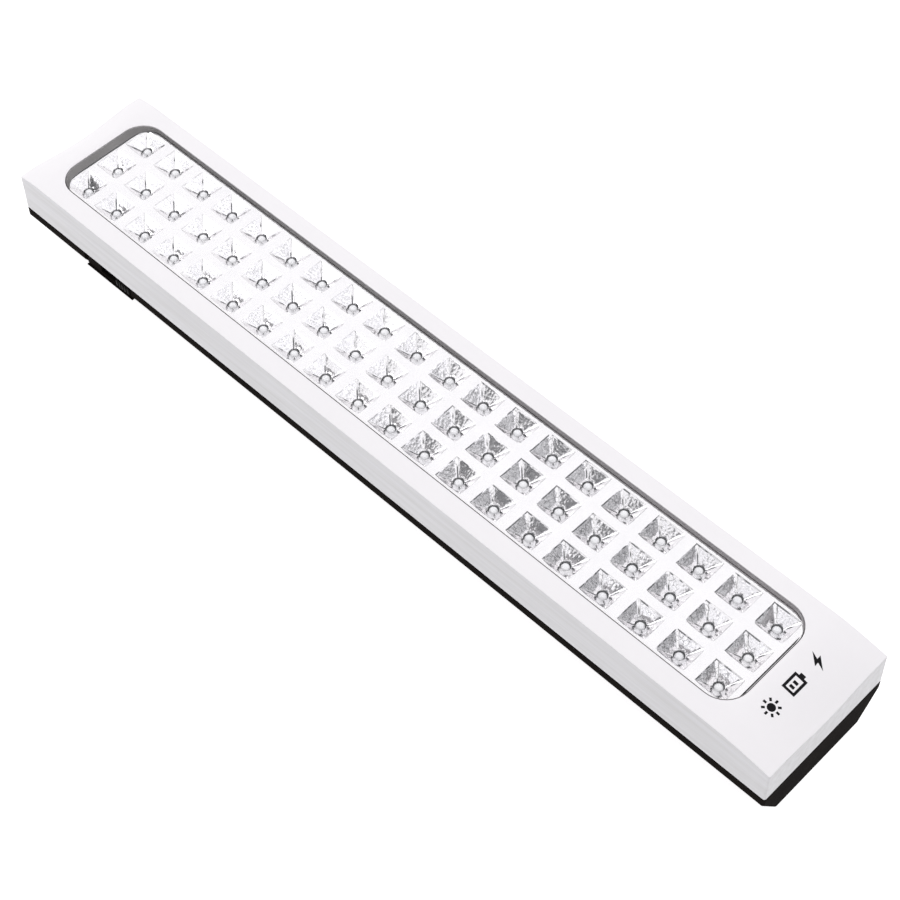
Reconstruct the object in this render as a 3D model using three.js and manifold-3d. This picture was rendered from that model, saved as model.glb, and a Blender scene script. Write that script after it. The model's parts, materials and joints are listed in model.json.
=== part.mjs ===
// A slim rechargeable emergency light that lies on its flat back with its window up.
// +X runs along the body to the plain end, +Z points out of the window, and the origin is
// at the bottom centre. All sizes are in millimetres.
import * as THREE from 'three';
import { mergeVertices } from 'three/addons/utils/BufferGeometryUtils.js';
import Module from 'manifold-3d';

const wasm = await Module();
wasm.setup();

// ---- Driving dimensions ----
const BODY_LENGTH = 335;
const BODY_WIDTH = 55;
const BODY_HEIGHT = 33;
const PARTING_Z = 16.2;
const WALL = 2;
const GAP = 0.3;
const CORNER_RADIUS = 1.2;

const LIP_BOTTOM_Z = 12.6;
const BOTTOM_HALF_WIDTH = 20;
const BOTTOM_BEVEL = 1.2;
const FAR_END_DRAFT = 2;

const CREASE_Z = 32.4;
const EDGE_RADIUS = 0.8;
const FAR_DROOP = 1.2;
const FAR_DROOP_LENGTH = 9;
const PLAIN_DROOP = 2.6;
const PLAIN_DROOP_LENGTH = 20;
const END_DISH = 2.2;

const CUP_COLUMNS = 20;
const CUP_ROWS = 3;
const CUP_PITCH_X = 15;
const CUP_PITCH_Y = 13.4;
const GRID_CENTRE_X = -5;
const RIB_TOP_Z = 31.3;
const CUP_OPENING = 10.6;
const CUP_FLOOR = 3.6;
const CUP_DEPTH = 3.8;
const CUP_WALL = 0.8;

const WINDOW_HALF_WIDTH = 20.5;
const WINDOW_HALF_LENGTH = 151.3;
const WINDOW_RADIUS = 9;
const GASKET_THICKNESS = 0.7;
const LENS_THICKNESS = 1;

const LED_RADIUS = 1.5;
const LED_TIP_Z = 28;
const LED_BOARD_TOP_Z = 22.7;
const BOARD_THICKNESS = 1.6;

const CELL_RADIUS = 7;
const CELL_LENGTH = 49.3;
const CELL_COUNT = 3;
const CELL_START_X = -36;
const CELL_AXIS_Z = 9.6;
const PAD_HEIGHT = 3.9;
const LINK_THICKNESS = 0.4;

const SWITCH_CENTRE_X = -123.5;
const SWITCH_PLATE_LENGTH = 24.2;
const KNOB_LENGTH = 7;
const KNOB_REST_X = -116;
const KNOB_TRAVEL = 8;

const INLET_PIN_PITCH = 8.6;
const INLET_PIN_RADIUS = 1.18;
const INLET_Z = 8.5;
const INLET_DEPTH = 13.5;

const CASE_SCREWS = [[-161.2, -13.8], [-161.2, 13.8], [157, -13.8], [157, 13.8]];
const BOARD_SCREW_COLUMNS = [-8, 8];

const HALF_LENGTH = BODY_LENGTH / 2;
const HALF_WIDTH = BODY_WIDTH / 2;
const ROUND = 16;

// ---- Materials ----
function finish(color, roughness, metalness = 0) {
  return new THREE.MeshStandardMaterial({ color, roughness, metalness });
}

const WHITE_PLASTIC = () => finish(0xf2f2f0, 0.4);
const BLACK_PLASTIC = () => finish(0x141414, 0.5);
const GREY_RUBBER = () => finish(0x4a4a4a, 0.7);
const CLEAR_PLASTIC = () => finish(0xe8eef0, 0.08);
const METALLISED = () => finish(0xdcdcde, 0.15, 0.9);
const CIRCUIT_BOARD = () => finish(0xd8cf9a, 0.5);
const STEEL = () => finish(0xb8b8ba, 0.3, 1);
const NICKEL = () => finish(0xc8c6be, 0.35, 1);
const CELL_SLEEVE = () => finish(0x2e7d4f, 0.45);
const YELLOW_FILM = () => finish(0xd6a020, 0.4);
const BLUE_SLEEVE = () => finish(0x2a4a86, 0.4);
const RED_LAMP = () => finish(0xb02018, 0.2);
const RED_WIRE = () => finish(0xa81c18, 0.5);
const BROWN_WIRE = () => finish(0x5a3420, 0.5);
const BLUE_WIRE = () => finish(0x2c4c8c, 0.5);
const FOAM = () => finish(0x3a3a3c, 0.95);

// ---- Solids and booleans ----
function toSolid(geometry) {
  const bare = geometry.index ? geometry.toNonIndexed() : geometry.clone();
  bare.deleteAttribute('normal');
  bare.deleteAttribute('uv');
  const welded = mergeVertices(bare, 1e-4);
  const vertProperties = new Float32Array(welded.attributes.position.array);
  const triVerts = new Uint32Array(welded.index.array);
  return new wasm.Manifold(new wasm.Mesh({ numProp: 3, vertProperties, triVerts }));
}

function toGeometry(solid) {
  const mesh = solid.getMesh();
  const geometry = new THREE.BufferGeometry();
  geometry.setAttribute('position', new THREE.BufferAttribute(new Float32Array(mesh.vertProperties), 3));
  geometry.setIndex(new THREE.BufferAttribute(new Uint32Array(mesh.triVerts), 1));
  return geometry;
}

function union(solids) {
  return solids.reduce((whole, piece) => whole.add(piece));
}

function box(x0, x1, y0, y1, z0, z1) {
  const geometry = new THREE.BoxGeometry(x1 - x0, y1 - y0, z1 - z0);
  geometry.translate((x0 + x1) / 2, (y0 + y1) / 2, (z0 + z1) / 2);
  return toSolid(geometry);
}

// A round bar between two heights, standing on the XY plane.
function post(x, y, radius, z0, z1, sides = ROUND) {
  const geometry = new THREE.CylinderGeometry(radius, radius, z1 - z0, sides);
  geometry.rotateX(Math.PI / 2);
  geometry.translate(x, y, (z0 + z1) / 2);
  return toSolid(geometry);
}

// A round bar lying along X.
function barX(x0, x1, y, z, radius, sides = ROUND) {
  const geometry = new THREE.CylinderGeometry(radius, radius, x1 - x0, sides);
  geometry.rotateZ(Math.PI / 2);
  geometry.translate((x0 + x1) / 2, y, z);
  return toSolid(geometry);
}

function extrudeUp(shape, z0, z1, curveSegments = 6) {
  const geometry = new THREE.ExtrudeGeometry(shape, { depth: z1 - z0, bevelEnabled: false, curveSegments });
  geometry.translate(0, 0, z0);
  return toSolid(geometry);
}

// The shape's first coordinate becomes Y and its second Z.
function extrudeAlongX(shape, x0, x1, curveSegments = 6) {
  const geometry = new THREE.ExtrudeGeometry(shape, { depth: x1 - x0, bevelEnabled: false, curveSegments });
  geometry.applyMatrix4(new THREE.Matrix4().set(0, 0, 1, x0, 1, 0, 0, 0, 0, 1, 0, 0, 0, 0, 0, 1));
  return toSolid(geometry);
}

// The shape's first coordinate becomes X and its second Z.
function extrudeAlongY(shape, y0, y1, curveSegments = 6) {
  const geometry = new THREE.ExtrudeGeometry(shape, { depth: y1 - y0, bevelEnabled: false, curveSegments });
  geometry.applyMatrix4(new THREE.Matrix4().set(1, 0, 0, 0, 0, 0, -1, y1, 0, 1, 0, 0, 0, 0, 0, 1));
  return toSolid(geometry);
}

function lathe(profile, sides = ROUND) {
  const points = profile.map(([radius, height]) => new THREE.Vector2(radius, height));
  const geometry = new THREE.LatheGeometry(points, sides);
  geometry.rotateX(Math.PI / 2);
  return toSolid(geometry);
}

// ---- Shared outlines ----

// The plan of the body: straight sides with small round corners.
function bodyPlan(inset) {
  const x = HALF_LENGTH - inset;
  const y = HALF_WIDTH - inset;
  const r = Math.max(CORNER_RADIUS - inset, 1);
  const shape = new THREE.Shape();
  shape.moveTo(-x + r, -y);
  shape.lineTo(x - r, -y);
  shape.absarc(x - r, -y + r, r, -Math.PI / 2, 0);
  shape.lineTo(x, y - r);
  shape.absarc(x - r, y - r, r, 0, Math.PI / 2);
  shape.lineTo(-x + r, y);
  shape.absarc(-x + r, y - r, r, Math.PI / 2, Math.PI);
  shape.lineTo(-x, -y + r);
  shape.absarc(-x + r, -y + r, r, Math.PI, Math.PI * 1.5);
  return shape;
}

function roundedWindow(inset) {
  const x = WINDOW_HALF_LENGTH - inset;
  const y = WINDOW_HALF_WIDTH - inset;
  const r = WINDOW_RADIUS - inset;
  const shape = new THREE.Shape();
  shape.moveTo(GRID_CENTRE_X - x + r, -y);
  shape.lineTo(GRID_CENTRE_X + x - r, -y);
  shape.absarc(GRID_CENTRE_X + x - r, -y + r, r, -Math.PI / 2, 0);
  shape.lineTo(GRID_CENTRE_X + x, y - r);
  shape.absarc(GRID_CENTRE_X + x - r, y - r, r, 0, Math.PI / 2);
  shape.lineTo(GRID_CENTRE_X - x + r, y);
  shape.absarc(GRID_CENTRE_X - x + r, y - r, r, Math.PI / 2, Math.PI);
  shape.lineTo(GRID_CENTRE_X - x, -y + r);
  shape.absarc(GRID_CENTRE_X - x + r, -y + r, r, Math.PI, Math.PI * 1.5);
  return shape;
}

// ---- Top shell ----
const TOP_BOTTOM_Z = PARTING_Z + GAP / 2;
const PLATE_UNDERSIDE_Z = 30.7;

const ROOF_DEPTH = 1.9;

function topCrossSection() {
  const edge = HALF_WIDTH - 0.3;
  const shape = new THREE.Shape();
  shape.moveTo(-HALF_WIDTH, TOP_BOTTOM_Z);
  shape.lineTo(HALF_WIDTH, TOP_BOTTOM_Z);
  shape.lineTo(edge, CREASE_Z - EDGE_RADIUS);
  shape.quadraticCurveTo(edge, CREASE_Z, edge - EDGE_RADIUS, CREASE_Z + 0.05);
  shape.lineTo(edge - EDGE_RADIUS - 1, BODY_HEIGHT + 1);
  shape.lineTo(-edge + EDGE_RADIUS + 1, BODY_HEIGHT + 1);
  shape.lineTo(-edge + EDGE_RADIUS, CREASE_Z + 0.05);
  shape.quadraticCurveTo(-edge, CREASE_Z, -edge, CREASE_Z - EDGE_RADIUS);
  return shape;
}

// Height of the top face: flat inside the window, falling a little towards the sides, drooping
// at both ends, with the end edges dished between their corners.
function topHeight(x, y) {
  const side = Math.max(0, Math.abs(y) - WINDOW_HALF_WIDTH) / (HALF_WIDTH - WINDOW_HALF_WIDTH);
  const dish = END_DISH * (0.5 + 0.5 * Math.cos((2 * Math.PI * y) / BODY_WIDTH));
  const plain = Math.max(0, x - HALF_LENGTH + PLAIN_DROOP_LENGTH) / PLAIN_DROOP_LENGTH;
  const far = Math.max(0, -x - HALF_LENGTH + FAR_DROOP_LENGTH) / FAR_DROOP_LENGTH;
  const droop = (PLAIN_DROOP + dish) * plain ** 1.5 + (FAR_DROOP + dish) * far ** 1.5;
  return BODY_HEIGHT - (BODY_HEIGHT - CREASE_Z) * side - droop;
}

function roofHeight(x, y) {
  return Math.min(PLATE_UNDERSIDE_Z, topHeight(x, y) - ROOF_DEPTH);
}

function droopStations() {
  const xs = [-HALF_LENGTH - 1];
  for (let i = 0; i <= 6; i += 1) {
    xs.push(-HALF_LENGTH + (FAR_DROOP_LENGTH * i) / 6);
  }
  for (let i = 0; i <= 8; i += 1) {
    xs.push(HALF_LENGTH - PLAIN_DROOP_LENGTH + (PLAIN_DROOP_LENGTH * i) / 8);
  }
  xs.push(HALF_LENGTH + 1);
  return xs;
}

// The solid between a flat bottom and a curved top face.
function underSurface(bottom, height) {
  const xs = droopStations();
  const ys = [-28.5, -24.5, -20.5, -17, -13.5, -10, -5, 0, 5, 10, 13.5, 17, 20.5, 24.5, 28.5];
  const top = (i, j) => [xs[i], ys[j], height(xs[i], ys[j])];
  const under = (i, j) => [xs[i], ys[j], bottom];
  const points = [];
  const quad = (a, b, c, d) => points.push(...a, ...b, ...c, ...a, ...c, ...d);
  for (let i = 0; i + 1 < xs.length; i += 1) {
    for (let j = 0; j + 1 < ys.length; j += 1) {
      quad(top(i, j), top(i + 1, j), top(i + 1, j + 1), top(i, j + 1));
      quad(under(i, j), under(i, j + 1), under(i + 1, j + 1), under(i + 1, j));
    }
  }
  const lastX = xs.length - 1;
  const lastY = ys.length - 1;
  for (let i = 0; i < lastX; i += 1) {
    quad(under(i, 0), under(i + 1, 0), top(i + 1, 0), top(i, 0));
    quad(under(i + 1, lastY), under(i, lastY), top(i, lastY), top(i + 1, lastY));
  }
  for (let j = 0; j < lastY; j += 1) {
    quad(under(0, j + 1), under(0, j), top(0, j), top(0, j + 1));
    quad(under(lastX, j), under(lastX, j + 1), top(lastX, j + 1), top(lastX, j));
  }
  const geometry = new THREE.BufferGeometry();
  geometry.setAttribute('position', new THREE.Float32BufferAttribute(points, 3));
  return toSolid(geometry);
}

const BOSS_RADIUS = 3.1;
const INDICATOR_Z = 24;
const INDICATOR_RADIUS = 1.5;

function topShell() {
  const outside = extrudeUp(bodyPlan(0), TOP_BOTTOM_Z, BODY_HEIGHT + 1)
    .intersect(extrudeAlongX(topCrossSection(), -HALF_LENGTH - 1, HALF_LENGTH + 1))
    .intersect(underSurface(TOP_BOTTOM_Z - 1, topHeight));
  const cavity = extrudeUp(bodyPlan(WALL), TOP_BOTTOM_Z - 1, PLATE_UNDERSIDE_Z + 1)
    .intersect(underSurface(TOP_BOTTOM_Z - 2, roofHeight));
  const window = extrudeUp(roundedWindow(0), PLATE_UNDERSIDE_Z - 1, BODY_HEIGHT + 2);
  let shell = outside.subtract(cavity).subtract(window);
  for (const [x, y] of CASE_SCREWS) {
    shell = shell.add(post(x, y, BOSS_RADIUS, TOP_BOTTOM_Z, PLATE_UNDERSIDE_Z + 0.5).intersect(outside));
    shell = shell.subtract(post(x, y, 1.8, TOP_BOTTOM_Z - 1, 26, 10));
  }
  const lampHole = barX(-HALF_LENGTH - 1, -HALF_LENGTH + 8, 0, INDICATOR_Z, INDICATOR_RADIUS + GAP, 12);
  return shell.subtract(lampHole);
}

// ---- Base shell ----
const BASE_TOP_Z = PARTING_Z - GAP / 2;
const POST_RADIUS = 3.8;
const COUNTERBORE_RADIUS = 3.1;
const COUNTERBORE_TOP_Z = 11;
const INLET_HALF_WIDTH = 9.5;
const INLET_HALF_HEIGHT = 5.3;
const SWITCH_PLATE_BOTTOM_Z = 10.7;
const SWITCH_PLATE_TOP_Z = 15.8;
const SWITCH_PLATE_FACE_Y = -26.9;
const SWITCH_PLATE_BACK_Y = -25.9;
const SWITCH_BLOCK_BACK_Y = -23.2;

function baseCrossSection(inset) {
  const top = HALF_WIDTH - inset;
  const bottom = BOTTOM_HALF_WIDTH - inset * 0.8;
  const floor = inset;
  const shape = new THREE.Shape();
  shape.moveTo(-bottom + BOTTOM_BEVEL, floor);
  shape.lineTo(bottom - BOTTOM_BEVEL, floor);
  shape.lineTo(bottom, floor + BOTTOM_BEVEL);
  shape.lineTo(top, LIP_BOTTOM_Z);
  shape.lineTo(top, BASE_TOP_Z + inset);
  shape.lineTo(-top, BASE_TOP_Z + inset);
  shape.lineTo(-top, LIP_BOTTOM_Z);
  shape.lineTo(-bottom, floor + BOTTOM_BEVEL);
  return shape;
}

// The plain end stands upright and the far end leans in towards the floor.
function baseSideProfile(inset) {
  const top = HALF_LENGTH - inset;
  const farBottom = -top + FAR_END_DRAFT;
  const shape = new THREE.Shape();
  shape.moveTo(farBottom + BOTTOM_BEVEL, inset);
  shape.lineTo(top - BOTTOM_BEVEL, inset);
  shape.lineTo(top, inset + BOTTOM_BEVEL);
  shape.lineTo(top, BASE_TOP_Z + inset);
  shape.lineTo(-top, BASE_TOP_Z + inset);
  shape.lineTo(-top, LIP_BOTTOM_Z);
  shape.lineTo(farBottom, inset + BOTTOM_BEVEL);
  return shape;
}

function baseForm(inset) {
  return extrudeUp(bodyPlan(inset), 0, BASE_TOP_Z + inset)
    .intersect(extrudeAlongX(baseCrossSection(inset), -HALF_LENGTH - 1, HALF_LENGTH + 1))
    .intersect(extrudeAlongY(baseSideProfile(inset), -HALF_WIDTH - 1, HALF_WIDTH + 1));
}

const KEYHOLE_CENTRES = [-120, 130];
const KEYHOLE_RADIUS = 4.2;
const KEYHOLE_SLOT_RADIUS = 2.2;
const KEYHOLE_SLOT_LENGTH = 8;

function keyhole(x) {
  const slot = box(x, x + KEYHOLE_SLOT_LENGTH, -KEYHOLE_SLOT_RADIUS, KEYHOLE_SLOT_RADIUS, -1, WALL + 1);
  const slotEnd = post(x + KEYHOLE_SLOT_LENGTH, 0, KEYHOLE_SLOT_RADIUS, -1, WALL + 1, 12);
  return union([post(x, 0, KEYHOLE_RADIUS, -1, WALL + 1), slot, slotEnd]);
}

const SADDLE_OFFSETS = [8, 56, 106, 142];
const SADDLE_HALF_WIDTH = 11;
const SADDLE_TOP_Z = 7;
const CHARGER_STANDOFFS = [[-98, -12], [-98, 12], [-54, -12], [-54, 12]];
const CHARGER_BOARD_Z = 5;

function baseShell() {
  const plateHalf = SWITCH_PLATE_LENGTH / 2;
  const block = box(
    SWITCH_CENTRE_X - plateHalf, SWITCH_CENTRE_X + plateHalf,
    -HALF_WIDTH, SWITCH_BLOCK_BACK_Y, SWITCH_PLATE_BOTTOM_Z - 0.6, BASE_TOP_Z);
  const plateRecess = box(
    SWITCH_CENTRE_X - plateHalf - GAP, SWITCH_CENTRE_X + plateHalf + GAP,
    -HALF_WIDTH - 1, SWITCH_PLATE_BACK_Y + GAP, SWITCH_PLATE_BOTTOM_Z - GAP, BASE_TOP_Z + 1);
  const neckSlot = box(
    KNOB_REST_X - KNOB_TRAVEL - 2, KNOB_REST_X + 2,
    -HALF_WIDTH, SWITCH_BLOCK_BACK_Y + 1, 11.8, 14.9);
  const inletHole = box(
    -HALF_LENGTH - 1, -HALF_LENGTH + 6,
    -INLET_HALF_WIDTH - GAP, INLET_HALF_WIDTH + GAP,
    INLET_Z - INLET_HALF_HEIGHT - GAP, INLET_Z + INLET_HALF_HEIGHT + GAP);
  let shell = baseForm(0).subtract(baseForm(WALL)).add(block).subtract(plateRecess);
  shell = shell.subtract(neckSlot).subtract(inletHole);
  for (const [x, y] of CASE_SCREWS) {
    shell = shell.add(post(x, y, POST_RADIUS, WALL / 2, BASE_TOP_Z));
    shell = shell.subtract(post(x, y, COUNTERBORE_RADIUS, -1, COUNTERBORE_TOP_Z));
    shell = shell.subtract(post(x, y, 1.8, COUNTERBORE_TOP_Z - 1, BASE_TOP_Z + 1, 10));
  }
  for (const x of KEYHOLE_CENTRES) {
    shell = shell.subtract(keyhole(x));
  }
  const cellBed = barX(CELL_START_X - 5, CELL_START_X + 160, 0, CELL_AXIS_Z, CELL_RADIUS + GAP, 24);
  for (const offset of SADDLE_OFFSETS) {
    const x = CELL_START_X + offset;
    const saddle = box(x, x + 2, -SADDLE_HALF_WIDTH, SADDLE_HALF_WIDTH, WALL / 2, SADDLE_TOP_Z);
    shell = shell.add(saddle.subtract(cellBed));
  }
  for (const [x, y] of CHARGER_STANDOFFS) {
    shell = shell.add(post(x, y, 2, WALL / 2, CHARGER_BOARD_Z - GAP, 8));
  }
  return shell;
}

// ---- Window: gasket, lens, reflector ----
function windowGasket() {
  const bottom = RIB_TOP_Z + GAP;
  const ring = extrudeUp(roundedWindow(GAP), bottom, BODY_HEIGHT - 0.1);
  return ring.subtract(extrudeUp(roundedWindow(GAP + GASKET_THICKNESS), bottom - 1, BODY_HEIGHT + 1));
}

function lens() {
  const bottom = RIB_TOP_Z + GAP;
  return extrudeUp(roundedWindow(GAP * 2 + GASKET_THICKNESS), bottom, bottom + LENS_THICKNESS);
}

function cupCentres() {
  const centres = [];
  for (let column = 0; column < CUP_COLUMNS; column += 1) {
    for (let row = 0; row < CUP_ROWS; row += 1) {
      const x = GRID_CENTRE_X + (column - (CUP_COLUMNS - 1) / 2) * CUP_PITCH_X;
      const y = (row - (CUP_ROWS - 1) / 2) * CUP_PITCH_Y;
      centres.push([x, y]);
    }
  }
  return centres;
}

// A square funnel that narrows downwards.
function funnel(x, y, topSize, bottomSize, z0, z1) {
  const toRadius = Math.SQRT1_2;
  const geometry = new THREE.CylinderGeometry(topSize * toRadius, bottomSize * toRadius, z1 - z0, 4);
  geometry.rotateY(Math.PI / 4);
  geometry.rotateX(Math.PI / 2);
  geometry.scale(1, CUP_PITCH_Y / CUP_PITCH_X, 1);
  geometry.translate(x, y, (z0 + z1) / 2);
  return toSolid(geometry);
}

const FLANGE_Z = 29.4;
const FLANGE_TOP_Z = 30.4;
const BOARD_SCREW_HOLE_TOP_Z = 28.6;

function boardScrewPlaces() {
  const places = [];
  for (const column of BOARD_SCREW_COLUMNS) {
    for (const side of [-1, 1]) {
      places.push([GRID_CENTRE_X + column * CUP_PITCH_X, side * CUP_PITCH_Y / 2]);
    }
  }
  return places;
}

function reflector() {
  const floorZ = RIB_TOP_Z - CUP_DEPTH;
  let body = extrudeUp(roundedWindow(GAP), RIB_TOP_Z - 1.2, RIB_TOP_Z, 4);
  body = body.add(extrudeUp(roundedWindow(-1.6), FLANGE_Z, FLANGE_TOP_Z, 4));
  const outers = [];
  const inners = [];
  for (const [x, y] of cupCentres()) {
    outers.push(funnel(x, y, CUP_OPENING + 2 * CUP_WALL, CUP_FLOOR + 2 * CUP_WALL,
      floorZ - CUP_WALL, FLANGE_TOP_Z));
    inners.push(funnel(x, y, CUP_OPENING, CUP_FLOOR, floorZ, RIB_TOP_Z + 0.01));
    inners.push(post(x, y, LED_RADIUS + GAP, floorZ - 2, floorZ + 1, 8));
  }
  for (const [x, y] of boardScrewPlaces()) {
    outers.push(post(x, y, 2.4, LED_BOARD_TOP_Z + GAP, FLANGE_TOP_Z, 8));
    inners.push(post(x, y, 1.35, LED_BOARD_TOP_Z, BOARD_SCREW_HOLE_TOP_Z, 6));
  }
  return body.add(union(outers)).subtract(union(inners));
}

// ---- LED board: one board with its soldered lamps ----
function ledBoard() {
  const bottomZ = LED_BOARD_TOP_Z - BOARD_THICKNESS;
  const start = GRID_CENTRE_X - WINDOW_HALF_LENGTH + 1.5;
  const end = GRID_CENTRE_X + WINDOW_HALF_LENGTH - 1.5;
  let board = box(start, end, -19, 19, bottomZ, LED_BOARD_TOP_Z);
  const lampProfile = [
    [0, -0.4], [LED_RADIUS, -0.4], [LED_RADIUS, 3.8], [LED_RADIUS * 0.7, 4.9],
    [0, LED_TIP_Z - LED_BOARD_TOP_Z],
  ];
  const lamp = lathe(lampProfile, 8);
  const lamps = cupCentres().map(([x, y]) => lamp.translate(x, y, LED_BOARD_TOP_Z));
  board = board.add(union(lamps));
  for (const [x, y] of boardScrewPlaces()) {
    board = board.subtract(post(x, y, 1.4, bottomZ - 1, LED_BOARD_TOP_Z + 1, 8));
  }
  return board;
}

// ---- Screws ----
// A pan head with a cross recess under a plain shank, driven upwards.
function screwUp(headRadius, headHeight, shankRadius, length) {
  const profile = [
    [0, 0], [headRadius * 0.8, 0], [headRadius, headHeight * 0.5], [headRadius, headHeight],
    [shankRadius, headHeight], [shankRadius, headHeight + length - shankRadius],
    [0, headHeight + length],
  ];
  const arm = headRadius * 0.55;
  const recess = union([
    box(-arm, arm, -0.3, 0.3, -1, headHeight * 0.5),
    box(-0.3, 0.3, -arm, arm, -1, headHeight * 0.5),
  ]);
  return lathe(profile, 12).subtract(recess);
}

// ---- Battery: cells in line with welded links ----
function cell() {
  const body = CELL_LENGTH - 1;
  const profile = [
    [0, 0], [CELL_RADIUS - 0.5, 0], [CELL_RADIUS, 0.5], [CELL_RADIUS, body - 0.5],
    [CELL_RADIUS - 0.5, body], [2.7, body], [2.7, CELL_LENGTH], [0, CELL_LENGTH],
  ];
  const geometry = new THREE.LatheGeometry(profile.map(([r, h]) => new THREE.Vector2(r, h)), 20);
  geometry.rotateZ(-Math.PI / 2);
  return toSolid(geometry);
}

const CELL_STEP = CELL_LENGTH + LINK_THICKNESS + 2 * GAP;

// ---- Wires ----
// A round wire through the given points, with its section square to the path.
function wire(points, radius = 0.8) {
  const path = new THREE.CatmullRomCurve3(points.map(([x, y, z]) => new THREE.Vector3(x, y, z)));
  const section = new THREE.Shape();
  section.absarc(0, 0, radius, 0, Math.PI * 2);
  const steps = points.length * 4;
  const geometry = new THREE.ExtrudeGeometry(section, { steps, extrudePath: path, curveSegments: 3 });
  return toSolid(geometry);
}

// ---- Slide switch ----
const SWITCH_BODY_FRONT_Y = -21.9;

function switchPlate() {
  const half = SWITCH_PLATE_LENGTH / 2;
  const plate = box(
    SWITCH_CENTRE_X - half, SWITCH_CENTRE_X + half,
    SWITCH_PLATE_FACE_Y, SWITCH_PLATE_BACK_Y, SWITCH_PLATE_BOTTOM_Z, SWITCH_PLATE_TOP_Z);
  const slot = box(
    KNOB_REST_X - KNOB_TRAVEL - KNOB_LENGTH / 2 - 0.5, KNOB_REST_X + KNOB_LENGTH / 2 + 0.5,
    -HALF_WIDTH - 1, -HALF_WIDTH + 3, 11.6, 15.1);
  return plate.subtract(slot);
}

// The cap fills the slot in the plate, and its neck reaches in to the switch.
function switchKnob() {
  const cap = box(-KNOB_LENGTH / 2, KNOB_LENGTH / 2, -HALF_WIDTH, SWITCH_PLATE_BACK_Y, 11.9, 14.8);
  const neck = box(-1.5, 1.5, SWITCH_PLATE_BACK_Y - 0.5, SWITCH_BODY_FRONT_Y - GAP, 12.2, 14.5);
  let knob = cap.add(neck);
  for (const offset of [-2.1, -0.7, 0.7, 2.1]) {
    knob = knob.subtract(box(offset - 0.3, offset + 0.3, -HALF_WIDTH - 1, -HALF_WIDTH + 0.4, 11, 16));
  }
  return knob;
}

function switchBody() {
  const body = box(-134, -112.5, SWITCH_BODY_FRONT_Y, -14, 10, 15.8);
  return body.subtract(box(-131, -113.7, SWITCH_BODY_FRONT_Y - 1, -18.4, 12, 14.7));
}

// ---- Charging inlet ----
const INLET_FACE_X = -HALF_LENGTH + FAR_END_DRAFT;
const INLET_HOUSING_HEIGHT = 2 * INLET_HALF_HEIGHT;

function inletHousing() {
  const outer = box(
    INLET_FACE_X, INLET_FACE_X + INLET_DEPTH, -INLET_HALF_WIDTH, INLET_HALF_WIDTH,
    INLET_Z - INLET_HOUSING_HEIGHT / 2, INLET_Z + INLET_HOUSING_HEIGHT / 2);
  const socket = box(
    INLET_FACE_X - 1, INLET_FACE_X + INLET_DEPTH - 1.8, -INLET_HALF_WIDTH + 1.2, INLET_HALF_WIDTH - 1.2,
    INLET_Z - INLET_HALF_HEIGHT + 1.2, INLET_Z + INLET_HALF_HEIGHT - 1.2);
  let housing = outer.subtract(socket);
  for (const side of [-1, 1]) {
    const y = side * INLET_PIN_PITCH / 2;
    housing = housing.subtract(barX(-160, -145, y, INLET_Z, INLET_PIN_RADIUS + GAP, 10));
  }
  return housing;
}

// ---- Assembly ----
const light = new THREE.Group();

function place(parent, name, solid, material, x = 0, y = 0, z = 0) {
  const mesh = new THREE.Mesh(toGeometry(solid), material);
  mesh.name = name;
  mesh.position.set(x, y, z);
  parent.add(mesh);
  return mesh;
}

const casing = new THREE.Group();
light.add(casing);
place(casing, 'top_shell', topShell(), WHITE_PLASTIC());
place(casing, 'base_shell', baseShell(), BLACK_PLASTIC());
const caseScrew = screwUp(2.8, 2.1, 1.45, 13);
CASE_SCREWS.forEach(([x, y], index) => {
  place(casing, `case_screw_${index + 1}`, caseScrew, STEEL(), x, y, COUNTERBORE_TOP_Z - 2.1 - GAP);
});

const lampUnit = new THREE.Group();
light.add(lampUnit);
place(lampUnit, 'window_gasket', windowGasket(), GREY_RUBBER());
place(lampUnit, 'lens', lens(), CLEAR_PLASTIC());
place(lampUnit, 'reflector', reflector(), METALLISED());
place(lampUnit, 'led_board', ledBoard(), CIRCUIT_BOARD());
const boardScrew = screwUp(2.2, 1.3, 1.0, 6.5);
boardScrewPlaces().forEach(([x, y], index) => {
  const z = LED_BOARD_TOP_Z - BOARD_THICKNESS - 1.3 - GAP;
  place(lampUnit, `board_screw_${index + 1}`, boardScrew, STEEL(), x, y, z);
});

const battery = new THREE.Group();
battery.position.set(CELL_START_X, 0, CELL_AXIS_Z);
light.add(battery);
for (let index = 0; index < CELL_COUNT; index += 1) {
  place(battery, `battery_cell_${index + 1}`, cell(), CELL_SLEEVE(), index * CELL_STEP);
}
for (let index = 1; index < CELL_COUNT; index += 1) {
  const link = box(0, LINK_THICKNESS, -2.5, 2.5, -5, 5);
  place(battery, `cell_link_${index}`, link, NICKEL(), index * CELL_STEP - LINK_THICKNESS - GAP);
}
const tab = box(0, LINK_THICKNESS, -2.5, 2.5, -5, 5);
place(battery, 'negative_tab', tab, NICKEL(), -LINK_THICKNESS - GAP);
place(battery, 'positive_tab', tab, NICKEL(), CELL_COUNT * CELL_STEP - LINK_THICKNESS - GAP);
const pad = box(-9, 9, -6, 6, 0, PAD_HEIGHT);
place(battery, 'battery_pad_1', pad, FOAM(), 25, 0, CELL_RADIUS + GAP);
place(battery, 'battery_pad_2', pad, FOAM(), 125, 0, CELL_RADIUS + GAP);

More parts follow.
